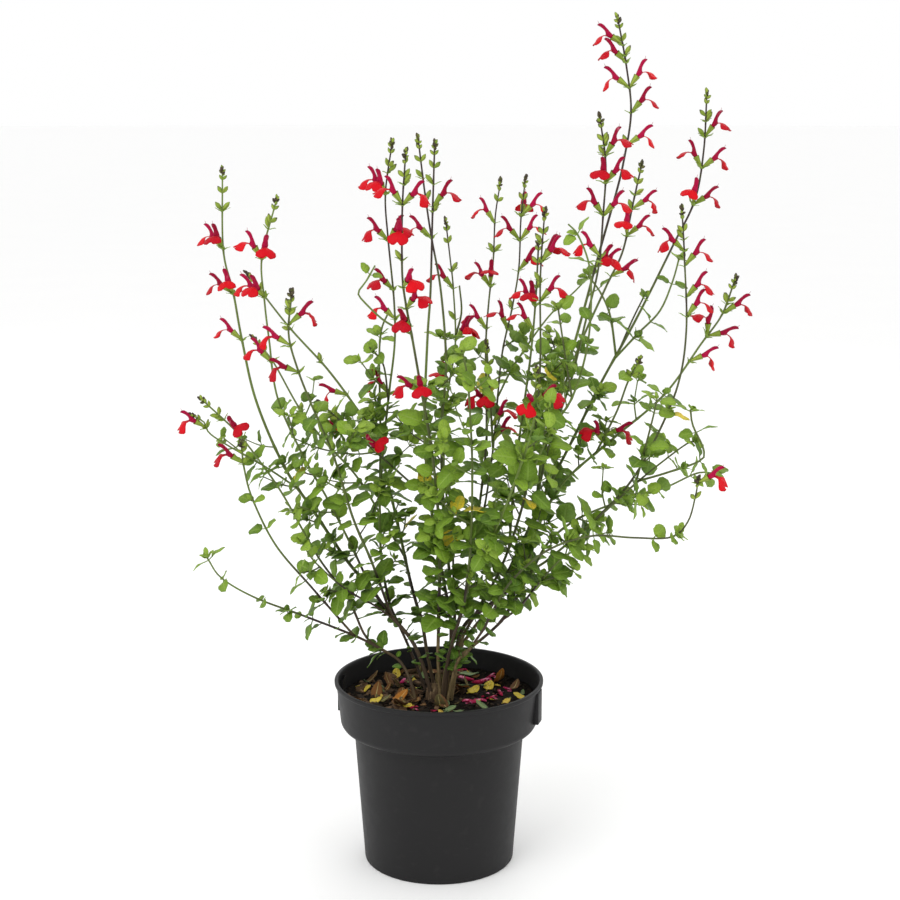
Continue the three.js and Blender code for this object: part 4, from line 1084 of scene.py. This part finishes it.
def stem_bark():
    finish = Finish("sage_stem", 0.55, 0.2)
    tone = finish.mark("tone")
    streak = finish.speckle(500, 4, finish.stretched((1, 1, 0.12)))
    blotch = finish.speckle(70, 3)
    # From 0.6 to 0.8 the ramp runs from dark brown to light olive-tan: besides the bark's own colour,
    # this paints a stem's foot as shaded or lit.
    stops = [(0.0, (0.15, 0.22, 0.045)), (0.2, (0.1, 0.13, 0.035)), (0.36, (0.042, 0.03, 0.026)),
             (0.6, (0.07, 0.047, 0.028)), (0.8, (0.17, 0.125, 0.055)), (1.0, (0.11, 0.07, 0.038))]
    age = tone + (blotch - 0.5) * 0.3
    color = finish.add("ShaderNodeValToRGB", {"stops": stops}, {0: age})
    old = tone.step(0.55, 0.9)
    color = finish.mix(streak.step(0.52, 0.72) * old * 0.6, color, (0.36, 0.26, 0.15))
    color = finish.mix(streak.step(0.48, 0.3) * old * 0.7, color, (0.045, 0.027, 0.018))
    return finish.dress(color, 0.5 + old * 0.3, streak * (0.25 + old), 0.5)


def leaf_green():
    finish = Finish("sage_leaf", 0.5, 0.2)
    along, side = finish.mark("along"), abs(finish.mark("across"))
    tint, tone, under = finish.mark("tint"), finish.mark("tone"), finish.mark("under")
    midrib = 1 - side.step(0.02, 0.16)
    veins = ((along - side * 0.22) * 44).wave().step(0.72, 1.0) * (1 - midrib)
    crinkle = finish.speckle(650, 3)
    patch = finish.speckle(120, 2)
    # Dark to bright green by tint: partly the leaves' own variety, partly painted shade, darkest for
    # leaves low in the middle of the plant.
    color = finish.mix(tint, (0.07, 0.15, 0.012), (0.235, 0.385, 0.03))
    color = finish.mix(patch.step(0.4, 0.75) * 0.35, color, (0.24, 0.41, 0.032))
    color = finish.mix(tone.step(0.0, 1.0), color, (0.28, 0.42, 0.045))
    faded = finish.mix(patch.step(0.35, 0.65), (0.82, 0.6, 0.03), (0.6, 0.52, 0.04))
    color = finish.mix(tone.step(1.1, 1.9), color, faded)
    color = finish.mix(crinkle.step(0.5, 0.3) * 0.35, color, (0.04, 0.1, 0.012))
    color = finish.mix((midrib * 0.45 + veins * 0.22) * (1 - under * 0.3), color, (0.28, 0.4, 0.08))
    color = finish.mix(under * 0.35, color, (0.2, 0.32, 0.09))
    relief = crinkle * 0.5 - midrib * 0.8 - veins * 0.5
    return finish.dress(color, 0.46 + crinkle * 0.2, relief, 0.35)


def petal_silk():
    """Crimson-pink tube and hood at tone 0, bright red lip at tone 1."""
    finish = Finish("hot_red_petal", 0.45, 0.1)
    along, side = finish.mark("along"), abs(finish.mark("across"))
    tint, tone = finish.mark("tint"), finish.mark("tone")
    silk = finish.speckle(420, 4)
    tube = finish.mix(tint, (0.3, 0.003, 0.028), (0.47, 0.005, 0.06))
    pale = finish.speckle(160, 2, finish.stretched((1, 1, 0.4))).step(0.62, 0.74)
    tube = finish.mix(pale * along.step(0.3, 0.7) * 0.4, tube, (0.75, 0.25, 0.34))
    tube = finish.mix(along.step(0.9, 1.0) * 0.6, tube, (0.16, 0.002, 0.02))
    lip = finish.mix(tint, (0.42, 0.002, 0.012), (0.64, 0.003, 0.009))
    lip = finish.mix(silk.step(0.5, 0.75) * 0.3, lip, (0.72, 0.008, 0.014))
    throat = (1 - along.step(0.05, 0.4)) * (1 - side.step(0.3, 1.0))
    lip = finish.mix(throat * 0.6, lip, (0.25, 0.002, 0.02))
    color = finish.mix(tone.step(0.2, 0.8), tube, lip)
    veins = (side * 26 + along * 3).wave() * 0.5
    return finish.dress(color, 0.4 + silk * 0.15, silk + veins, 0.12)


def calyx_skin():
    """Yellow-green between dark ribs, wholly dark on closed buds (tone 1)."""
    finish = Finish("calyx_ribbed", 0.5, 0.2)
    along, rib = finish.mark("along"), finish.mark("across")
    tint, tone = finish.mark("tint"), finish.mark("tone")
    down = finish.speckle(700, 3)
    green = finish.mix(tint, (0.19, 0.28, 0.03), (0.3, 0.4, 0.05))
    dark = finish.mix(tint, (0.03, 0.014, 0.02), (0.07, 0.045, 0.035))
    ends = along.step(0.7, 1.0) * tone.step(0.0, 0.5)
    shade = rib.step(0.4, 0.95) * 0.3 * (1 + tint) + tone.step(0.4, 1.0) * 0.9 + ends
    color = finish.mix(shade.step(0.0, 1.0) * 0.95, green, dark)
    color = finish.mix(down.step(0.6, 0.75) * 0.2, color, (0.26, 0.31, 0.1))
    return finish.dress(color, 0.45 + down * 0.25, down + rib, 0.25)


def wilted_petal():
    finish = Finish("fallen_petal", 0.55, 0.12)
    tint, along = finish.mark("tint"), finish.mark("along")
    crease = finish.speckle(330, 4)
    color = finish.mix(tint, (0.3, 0.003, 0.018), (0.4, 0.012, 0.1))
    color = finish.mix(crease.step(0.56, 0.74) * 0.6, color, (0.66, 0.14, 0.3))
    color = finish.mix(crease.step(0.5, 0.32) * 0.8, color, (0.09, 0.003, 0.015))
    streak = along.step(0.3, 0.55) * (1 - along.step(0.7, 0.9)) * crease.step(0.45, 0.6)
    color = finish.mix(streak * 0.7, color, (0.72, 0.3, 0.45))
    color = finish.mix(along.step(0.85, 1.0) * 0.4, color, (0.3, 0.12, 0.12))
    return finish.dress(color, 0.5 + crease * 0.2, crease, 0.4)


def wilted_leaf():
    """Tone runs from yellow over orange-brown and dry brown to grey-green."""
    finish = Finish("fallen_leaf", 0.6, 0.12)
    along, side, tone = finish.mark("along"), abs(finish.mark("across")), finish.mark("tone")
    stops = [(0.0, (0.66, 0.5, 0.06)), (0.3, (0.6, 0.42, 0.07)), (0.45, (0.4, 0.15, 0.02)),
             (0.65, (0.12, 0.062, 0.03)), (0.85, (0.13, 0.2, 0.07)), (1.0, (0.19, 0.27, 0.16))]
    color = finish.add("ShaderNodeValToRGB", {"stops": stops}, {0: tone})
    spots = finish.speckle(300, 4)
    color = finish.mix(spots.step(0.56, 0.68) * 0.6, color, (0.2, 0.11, 0.03))
    color = finish.mix((1 - side.step(0.02, 0.14)) * 0.4, color, (0.75, 0.68, 0.28))
    veins = ((along - side * 0.22) * 44).wave().step(0.6, 1.0)
    return finish.dress(color, 0.5 + spots * 0.25, spots - veins * 0.5, 0.4)


def studio_floor():
    finish = Finish("pale_floor", 0.8, 0.2)
    cloud = finish.speckle(3)
    return finish.dress(finish.mix(cloud, (0.97, 0.97, 0.97), (0.99, 0.99, 0.985)))


POT_PLASTIC, POTTING_MIX, BARK, STEM_BARK = pot_plastic(), potting_mix(), bark(), stem_bark()
LEAF_GREEN, PETAL_SILK, CALYX_SKIN = leaf_green(), petal_silk(), calyx_skin()
WILTED_PETAL, WILTED_LEAF = wilted_petal(), wilted_leaf()


# Pot
def rounded(corners):
    """Points of an outline of (radius, height, rounding), with each corner eased."""
    places = [np.array(corner[:2], float) for corner in corners]
    outline = [places[0]]
    for before, corner, after, row in zip(places, places[1:], places[2:], corners[1:]):
        start = corner + unit(before - corner) * row[2]
        end = corner + unit(after - corner) * row[2]
        for share in np.linspace(0, 1, 5):
            back, ahead = start + (corner - start) * share, corner + (end - corner) * share
            outline.append(back + (ahead - back) * share)
    return [*outline, places[-1]]


def turned(bm, outline, steps):
    """Spins an outline of radii and heights round the upright axis, and closes its poles."""
    verts = [bm.verts.new((radius * MM, 0, height * MM)) for radius, height in outline]
    edges = [bm.edges.new(pair) for pair in zip(verts, verts[1:])]
    bmesh.ops.spin(bm, geom=[*verts, *edges], cent=(0, 0, 0), axis=(0, 0, 1), dvec=(0, 0, 0),
                   angle=2 * math.pi, steps=steps, use_merge=True)
    bmesh.ops.remove_doubles(bm, verts=bm.verts, dist=0.01 * MM)
    bmesh.ops.recalc_face_normals(bm, faces=bm.faces)


# The pot's section, from the underside round the rim to the floor: radius, height, rounding
POT_OUTLINE = [
  (0, 0, 0), (60, 0, 1), (62, 1.2, 1), (70, 1.2, 1), (71, 0, 0.8), (73, 0, 1.6), (73.3, 4, 1),
  (82.5, 131, 2.5), (84.5, 135, 2), (93, 136.2, 2), (95.5, 140, 2), (99.4, 177.6, 0.8),
  (101.3, 178.6, 0.7), (101.4, 181.8, 0.9), (98, 182, 0.9), (97.2, 179, 1), (93.5, 140, 2),
  (80.5, 136, 2), (71.2, 4, 1), (0, 3.2, 0),
]


def add_box(bm, size, center, degrees):
    for vert in bmesh.ops.create_cube(bm, size=1)["verts"]:
        spot = (vert.co[i] * size[i] + center[i] for i in range(3))
        vert.co = spun_round(*spot, degrees)
        vert.co *= MM


def carve(mesh, cutters):
    """Takes closed shapes away, and gives the finished mesh."""
    piece, tool = in_scene("uncut", mesh), in_scene("cutters", cutters)
    cut = piece.modifiers.new("carve", "BOOLEAN")
    cut.operation, cut.object, cut.solver = "DIFFERENCE", tool, "FAST"
    graph = bpy.context.evaluated_depsgraph_get()
    result = bpy.data.meshes.new_from_object(piece.evaluated_get(graph))
    for item in (piece, tool):
        bpy.data.objects.remove(item)
    return result


def make_pot():
    wall, slots = bmesh.new(), bmesh.new()
    turned(wall, rounded(POT_OUTLINE), 128)
    for i in range(DRAIN_SLOTS):
        add_box(slots, SLOT_SIZE, (FOOT_RADIUS - 1, 0, 1), (i + 0.5) * 360 / DRAIN_SLOTS)
    carved = carve(meshed(wall, "pot_wall"), meshed(slots, "slots"))
    place("nursery_pot", carved, POT_PLASTIC, "pot", "pot")
    for angle, middle in LUG_MIDDLE.items():
        make_lug(angle, middle)


def make_lug(angle, middle):
    """An open pocket on the collar, such as a hanger or a label slides into."""
    bm = bmesh.new()
    add_box(bm, LUG_SIZE, (middle, 0, LUG_HEIGHT), angle)
    top = max(bm.faces, key=lambda face: face.calc_center_median().z)
    bmesh.ops.inset_region(bm, faces=[top], thickness=LUG_WALL * MM)
    for vert in top.verts:
        vert.co.z -= POCKET_DEPTH * MM
    eased(bm, [edge for edge in bm.edges if edge.calc_length() > 1 * MM], 0.45 * MM, 2)
    bmesh.ops.recalc_face_normals(bm, faces=bm.faces)
    place(f"collar_pocket_{angle % 360}", meshed(bm, "lug"), POT_PLASTIC, "pot", "pot")


# Soil and litter
def soil_height(x, y):
    lumps = math.sin(x / 9 + 1) * math.cos(y / 11) + 0.6 * math.sin((x + y) / 6)
    return SOIL_LEVEL + SOIL_RELIEF * lumps / 1.6


# The mix below its top, just inside the pot's wall and over its floor: radius, height
SOIL_UNDERSIDE = [(93.2, 141), (80.2, 137), (70.6, 4), (0, 3.6)]


def make_soil():
    bm = bmesh.new()
    top = [(radius, SOIL_LEVEL) for radius in np.linspace(0, SOIL_RADIUS, 42)]
    turned(bm, [*top, *SOIL_UNDERSIDE], 144)
    for vert in bm.verts:
        x, y, z = vert.co / MM
        if z > SOIL_LEVEL - 1:
            fine = noise.fractal((x / 7, y / 7, 3), 0.8, 2.2, 5)
            heap = 1.6 * max(0, math.hypot(x, y) - 84) / 11
            vert.co.z = (soil_height(x, y) + 1.1 * fine + heap) * MM
    place("potting_mix", meshed(bm, "potting_mix"), POTTING_MIX, "soil", "soil")


def chip_forms(luck):
    """A few broken bits of bark, each with its own chipped corners."""
    forms = []
    for _ in range(CHIP_FORMS):
        bm = new_shape()
        bmesh.ops.create_cube(bm, size=2)
        eased(bm, bm.edges[:], 0.35, 1)
        for vert in bm.verts:
            vert.co = [c * luck.uniform(0.72, 1.08) for c in vert.co]
            vert.co.x += 0.35 * vert.co.y * vert.co.y - 0.2
        forms.append(Form(bm))
    return forms


def any_lean(luck, most):
    return luck.uniform(-most, most), luck.uniform(-most, most)


def make_chips(draw, luck):
    """The chips that are bumps of the soil's solid, then many loose ones, larger on the left."""
    forms = chip_forms(luck)
    bunch = Bunch()

    def lay(stand, size, tone):
        form = luck.choice(forms)
        bunch.add(form, stand.put(form.points * np.array(size) / 2), luck.random()**1.5, tone)

    for _ in range(CHIP_COUNT):
        angle, reach = draw(1.9, 5.4), draw(42, 80)
        roll, pitch, turn = draw(-0.3, 0.3), draw(-0.25, 0.25), draw(0, math.pi)
        lean = (math.sin(pitch) * math.cos(turn) + roll * math.sin(turn),
                math.sin(pitch) * math.sin(turn) - roll * math.cos(turn))
        x, y = reach * math.cos(angle), reach * math.sin(angle)
        lay(lie(x, y, math.degrees(turn), lean, 0.4), CHIP_SIZE, 0.1)
    for _ in range(LOOSE_CHIPS):
        reach, turn = 93 * math.sqrt(luck.random()), luck.uniform(0, 2 * math.pi)
        x, y = reach * math.cos(turn), reach * math.sin(turn)
        barky = 1 / (1 + math.exp((x - 2 - 0.35 * y) / 14))  # from 1 at the left to 0 at the right
        length = luck.uniform(4.5, 15) if luck.random() < barky else luck.uniform(2, 6)
        under_crown = math.hypot(x + 3, y - 4) < 14 and length > 5
        if math.hypot(x, y) + length / 2 > LITTER_RADIUS or under_crown:
            continue
        size = (length, length * luck.uniform(0.35, 0.75), length * luck.uniform(0.14, 0.35))
        lean = any_lean(luck, 0.6)
        stand = lie(x, y, luck.uniform(0, 360), lean, luck.uniform(0, 2.2))
        lay(stand, size, 0.1 if luck.random() < 0.3 + 0.6 * barky else 0.8)
    bunch.show("bark_chips", BARK, "soil")


def lie(x, y, turn, lean=(0.0, 0.0), lift=1.0):
    """A place on the mix, flat but for a lean, facing the way of turn in degrees."""
    turn = math.radians(turn)
    up = unit(np.array([lean[0], lean[1], 1.0]))
    flat = np.array([math.cos(turn), math.sin(turn), 0.0])
    spot = np.array([x, y, soil_height(x, y) + lift])
    return Stand(spot, up, unit(flat - up * (flat @ up)), 0, 0)


def add_fallen_corolla(bunch, stand, length, luck):
    scale = length / (THROAT_AT + HOOD_LENGTH)
    tint = luck.random()
    middle = np.array([21, 0, 0.6])
    hood = (HOOD.points - middle) * np.array([scale, scale, 0.9 * scale])
    bunch.add(HOOD, stand.put(hood), tint)
    lip = (lip_points(-0.75, luck) - middle) * np.array([1.1 * scale, 0.8 * scale, 0.55 * scale])
    bunch.add(LIP_BLADE, stand.put(lip), luck.random())


def add_fallen_leaf(bunch, stand, length, tone, curl, luck):
    wave = luck.random() * 6
    points = blade_points(DRY_BLADE, 0.85 * length, 0, -curl, 0.25 * curl, LEAF_WIDTHS, wave)
    points = points - np.array([length / 2, 0, -0.2])
    add_blade(bunch, DRY_BLADE, stand, points, luck.random(), tone)
    stalk = stalk_points(0.2 * length, 0.5, lambda x: 0 * x) - np.array([0.68 * length, 0, 0])
    bunch.add(STALK, stand.put(stalk), luck.random(), tone)


# Litter without solids: place, turn and length, and for the leaves also tone and curl
LOOSE_COROLLAS = [(46, 3, 60, 20), (60, 12, 105, 19), (22, 82, -10, 21), (-24, -33, -5, 14),
                  (26, 54, 160, 24), (52, 62, 20, 16), (-6, -38, 200, 12), (30, -14, 175, 24),
                  (52, -4, 20, 16), (68, 24, -40, 15)]
LOOSE_LEAVES = [
  (50, 33, 70, 14, 0.05, 0.3), (-43, 66, 80, 13, 0.1, 0.5), (-71, 24, 10, 13, 0.0, 0.3),
  (-31, -30, 170, 12, 0.0, 0.4), (-37, -8, 40, 17, 0.45, 0.8), (62, 47, -50, 18, 0.48, 0.9),
  (31, 69, -15, 22, 0.95, 0.3), (12, -36, 10, 12, 0.9, 0.5), (40, -33, 150, 14, 0.88, 0.6),
  (-15, 60, 120, 12, 0.85, 0.5), (66, -15, 30, 9, 0.3, 0.4), (-52, 42, 150, 15, 0.62, 0.9),
  (-20, 20, -60, 11, 0.85, 0.4), (-58, 8, 95, 12, 0.85, 0.5), (76, 28, 60, 13, 0.64, 0.8),
  (8, -22, 60, 10, 0.92, 0.4), (-66, 48, 20, 14, 0.66, 0.9), (20, -46, -20, 10, 0.9, 0.5),
]


def make_litter(luck):
    for node, (kind, x, y, turn, length) in FALLEN.items():
        bunch = Bunch()
        if kind == "corolla":
            raised = 5 if node == "fallen_corolla_left" else 1.6  # the left one lies over bark
            add_fallen_corolla(bunch, lie(x, y, turn, (0.1, 0.1), raised), length, luck)
            bunch.show("wilted_" + node[7:], WILTED_PETAL, "petal_fallen", node)
        else:
            add_fallen_leaf(bunch, lie(x, y, turn, (0.05, -0.1), 1.2), length, 0.0, 0.3, luck)
            bunch.show("yellow_" + node[7:], WILTED_LEAF, "leaf_fallen", node)
    corollas, leaves = Bunch(), Bunch()
    for x, y, turn, length in LOOSE_COROLLAS:
        stand = lie(x, y, turn, any_lean(luck, 0.3), 2.2)
        add_fallen_corolla(corollas, stand, length, luck)
    for x, y, turn, length, tone, curl in LOOSE_LEAVES:
        stand = lie(x, y, turn, any_lean(luck, 0.3), 1.8)
        add_fallen_leaf(leaves, stand, length, tone, curl, luck)
    for _ in range(DRY_LEAVES):
        x, y = luck.uniform(-84, 30), luck.uniform(-40, 84)
        if 18 < math.hypot(x, y) < 82:
            lean = any_lean(luck, 0.6)
            spot = lie(x, y, luck.uniform(0, 360), lean, luck.uniform(1.5, 3.5))
            add_fallen_leaf(leaves, spot, luck.uniform(8, 17), luck.uniform(0.58, 0.72),
                            luck.uniform(0.3, 1.2), luck)
    for _ in range(LEAF_CRUMBS):
        reach, turn = 86 * math.sqrt(luck.uniform(0.06, 1)), luck.uniform(0, 2 * math.pi)
        lean = any_lean(luck, 0.4)
        spot = lie(reach * math.cos(turn), reach * math.sin(turn), luck.uniform(0, 360), lean, 1.8)
        tone = luck.choice((0, 0.05, 0.3, 0.62, 0.85, 0.9, 0.95))
        add_fallen_leaf(leaves, spot, luck.uniform(4, 9), tone, 0.5, luck)
    stalk = stalk_points(21, 0.9, lambda x: 0.006 * (x - 10) ** 2)
    leaves.add(STALK, lie(11, 34, 8, lift=2.4).put(stalk), 0.5, 0.9)
    corollas.show("scattered_corollas", WILTED_PETAL, "petal_fallen")
    leaves.show("scattered_leaves", WILTED_LEAF, "leaf_fallen")


# The whole plant
def leaf_tone(shoot, distance, luck):
    """0 for a grown leaf, up to 1 for a young one near a tip, 2 for a fading yellow one."""
    end = distance / shoot.route.length
    fading = luck.random() < 0.025 and end < 0.6
    return 2.0 if fading else max(0.0, end - 0.62) * 1.6 + luck.uniform(0, 0.18)


def add_leaves(bunch, shoot, luck):
    for item in shoot.items:
        if item["kind"] != "leaf":
            continue
        tone = leaf_tone(shoot, item["distance"], luck)
        add_leaf(bunch, item["stand"], item["size"] * LEAF_LARGER, item["droop"], luck, tone)
        if luck.random() < 0.68:
            add_axil_leaves(bunch, shoot, item, luck, tone)
    if shoot.leaves and not shoot.is_twig:
        add_pairs_between(bunch, shoot, luck)
    if not shoot.parent:
        add_low_leaves(bunch, shoot, luck)


def is_leafy_zone(spot):
    """Whether side twigs grow there: in a band whose top slopes down to both sides."""
    foot, top = ZONE_HEIGHTS
    return foot < spot[2] < top - ZONE_SLOPE * abs(spot[0] - ZONE_MIDDLE) and spot[0] < ZONE_RIGHT


def grow_twigs(shoots, luck):
    """Short leafy side twigs in the leafy zone, which fill the plant between its shoots."""
    twigs = []
    for shoot in list(shoots.values()):
        if shoot.node in ("stem_left_low", "stem_low_curved"):
            continue
        distance = luck.uniform(60, 90)
        while distance < shoot.route.length:
            foot = shoot.route.at(distance)
            if is_leafy_zone(foot):
                length = luck.uniform(16, 44)
                tangent = shoot.route.along(distance)
                outward = turned_outward(tangent, luck.uniform(0, 2 * math.pi))
                points = [foot + (outward * 0.8 * share + tangent * 0.7 * share**1.4) * length
                          for share in (0, 0.5, 1)]
                size = luck.uniform(10, 17)
                leaves = [0.4, 0.98, luck.choice((2, 2, 3)), size, 0.75 * size]
                thick, thin = TWIG_RADII
                name = f"{shoot.name}_twig_{len(twigs)}"
                row = [name, shoot.name, thick, points, leaves, [], []]
                twigs.append(Shoot(shoot.node, row, shoots, luck.uniform, thin))
                twigs[-1].is_twig = True
            distance += luck.uniform(24, 52)
    list_items(twigs, luck.uniform)
    for twig in twigs:
        for item in twig.items:
            item["outward"], rise = next(ways_to_stand(twig, item))
            item["stand"] = twig.stand(item["distance"], item["outward"], rise)


def beside(shoot, item, turn):
    """The direction out of a shoot at a given turn from the way in which an item faces."""
    tangent = shoot.route.along(item["distance"])
    side, back = cross_frame(tangent)
    facing = math.atan2(item["outward"] @ back, item["outward"] @ side)
    return turned_outward(tangent, facing + turn)


def add_axil_leaves(bunch, shoot, item, luck, tone):
    """Small leaves crowded above a grown leaf, where it meets its stem."""
    for side in luck.sample((-0.9, 0.0, 0.9), 2):
        outward = beside(shoot, item, side + luck.uniform(-0.2, 0.2))
        distance = min(shoot.route.length, item["distance"] + luck.uniform(0.5, 3))
        stand = shoot.stand(distance, outward, luck.uniform(0.6, 1.15))
        size = item["size"] * luck.uniform(0.42, 0.85)
        add_leaf(bunch, stand, size, luck.uniform(0, 0.3), luck, min(1, tone + 0.2))


def add_pairs_between(bunch, shoot, luck):
    """Two more pairs of leaves between each two that the plant's solids have."""
    start, end, pairs, first, last = shoot.leaves
    for i in range(2 * pairs - 2):
        share = (0.5 * i + luck.uniform(0.2, 0.3)) / (pairs - 1)
        distance = (start + (end - start) * share) * shoot.route.length
        turn = luck.uniform(0, math.pi)
        tangent = shoot.route.along(distance)
        for half in (0, math.pi):
            outward = turned_outward(tangent, turn + half)
            stand = shoot.stand(distance, outward, luck.uniform(0.0, 0.8))
            size = (first + (last - first) * share) * luck.uniform(0.8, 1.3)
            tone = leaf_tone(shoot, distance, luck)
            add_leaf(bunch, stand, size, luck.uniform(0.1, 0.5), luck, tone)


def add_low_leaves(bunch, shoot, luck):
    """Small shaded leaves on the woody part, down to the crown."""
    distance = 55
    while distance < min(190, shoot.route.length) and shoot.route.at(distance)[2] < WOOD_HEIGHT:
        tangent = shoot.route.along(distance)
        outward = turned_outward(tangent, luck.uniform(0, 2 * math.pi))
        stand = shoot.stand(distance, outward, luck.uniform(0.1, 0.9))
        size = luck.uniform(6, 13)
        add_leaf(bunch, stand, size, luck.uniform(0.1, 0.5), luck, 0.0, petiole=0.5)
        distance += luck.uniform(5, 13)


def add_bracts(bunch, shoot, luck):
    """Narrow small leaves under each flower."""
    for item in shoot.items:
        if item["kind"] == "leaf":
            continue
        for side in (0, math.pi):
            outward = beside(shoot, item, side + luck.uniform(0.3, 0.7))
            stand = shoot.stand(item["distance"] - 1.5, outward, luck.uniform(0.45, 0.85))
            add_leaf(bunch, stand, luck.uniform(6.5, 10), 0.15, luck, 0.8, BRACT_WIDTHS, 0.12)


def corners_of(node):
    """The corners of a node's solid, ready to be searched."""
    verts = frame["nodes"][node].data.vertices
    tree = kdtree.KDTree(len(verts))
    for i, vert in enumerate(verts):
        tree.insert(vert.co, i)
    tree.balance()
    return tree


def make_plant(draw, luck):
    shoots = {}
    for node, rows in STEMS.items():
        for row in rows:
            Shoot(node, row, shoots, draw)
    list_items(shoots.values(), draw)
    settle_items(shoots.values(), {node: corners_of(node) for node in STEMS})
    grow_twigs(shoots, luck)
    for node in STEMS:
        own = [shoot for shoot in shoots.values() if shoot.node == node]
        make_stems(node, own)
        leaves, calyces, petals = Bunch(), Bunch(), Bunch()
        for shoot in own:
            add_leaves(leaves, shoot, luck)
            add_bracts(leaves, shoot, luck)
            for item in shoot.items:
                if item["kind"] == "flower":
                    add_flower(calyces, petals, item, luck)
                elif item["kind"] == "bud":
                    tone = luck.uniform(0.1, 0.5)
                    add_bud(calyces, BUD, item["stand"], BUD_LENGTH, BUD_RADIUS, luck.random(), tone)
            if shoot.flowers or shoot.buds:
                add_tip_cluster(calyces, shoot, luck)
        for bunch, part, finish in ((leaves, "leaf", LEAF_GREEN), (calyces, "calyx", CALYX_SKIN),
                                    (petals, "petal", PETAL_SILK)):
            if bunch.marks["tint"]:
                bunch.show(f"{node}_{part}", finish, part, node)


# Studio: name, place, size and power of each soft light
LIGHTS = [("key", (-1.3, -1.7, 2.3), 1.6, 24), ("fill", (1.9, -1.4, 1.3), 1.8, 6),
          ("rim", (0.6, 1.9, 2.2), 1.5, 10)]
LIT_POINT = Vector((0, 0, 0.4))


def make_floor():
    bm = bmesh.new()
    bmesh.ops.create_circle(bm, cap_ends=True, segments=64, radius=60)
    mesh = meshed(bm, "studio_floor")
    mesh.materials.append(studio_floor().material)
    in_scene("studio_floor", mesh)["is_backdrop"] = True


def make_lights():
    world = bpy.data.worlds.new("studio")
    world.use_nodes = True
    sky = world.node_tree.nodes["Background"].inputs
    sky["Color"].default_value, sky["Strength"].default_value = (1, 1, 1, 1), 1.0
    bpy.context.scene.world = world
    bpy.context.scene.view_settings.view_transform = "Standard"
    for name, spot, size, power in LIGHTS:
        light = bpy.data.lights.new(name, "AREA")
        light.size, light.energy = size, power
        lamp = in_scene(name, light)
        lamp.location = spot
        lamp.rotation_euler = (LIT_POINT - lamp.location).to_track_quat("-Z", "Y").to_euler()


def make_camera():
    lens = bpy.data.cameras.new("camera")
    lens.lens, lens.sensor_width = CAMERA_LENS, 36
    camera = in_scene("camera", lens)
    camera.location = [value * MM for value in CAMERA_PLACE]
    camera.rotation_euler = (math.radians(90 - CAMERA_DOWN), 0, 0)
    bpy.context.scene.camera = camera


draw = Draws(SEED)
luck = random.Random(SEED)
make_floor()
make_lights()
make_camera()
make_plant(draw, luck)
make_pot()
make_soil()
make_chips(draw, luck)
make_litter(luck)
boxes = {"cad": cad_box, "visual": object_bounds()}
{name: [list(corner) for corner in box] for name, box in boxes.items()}
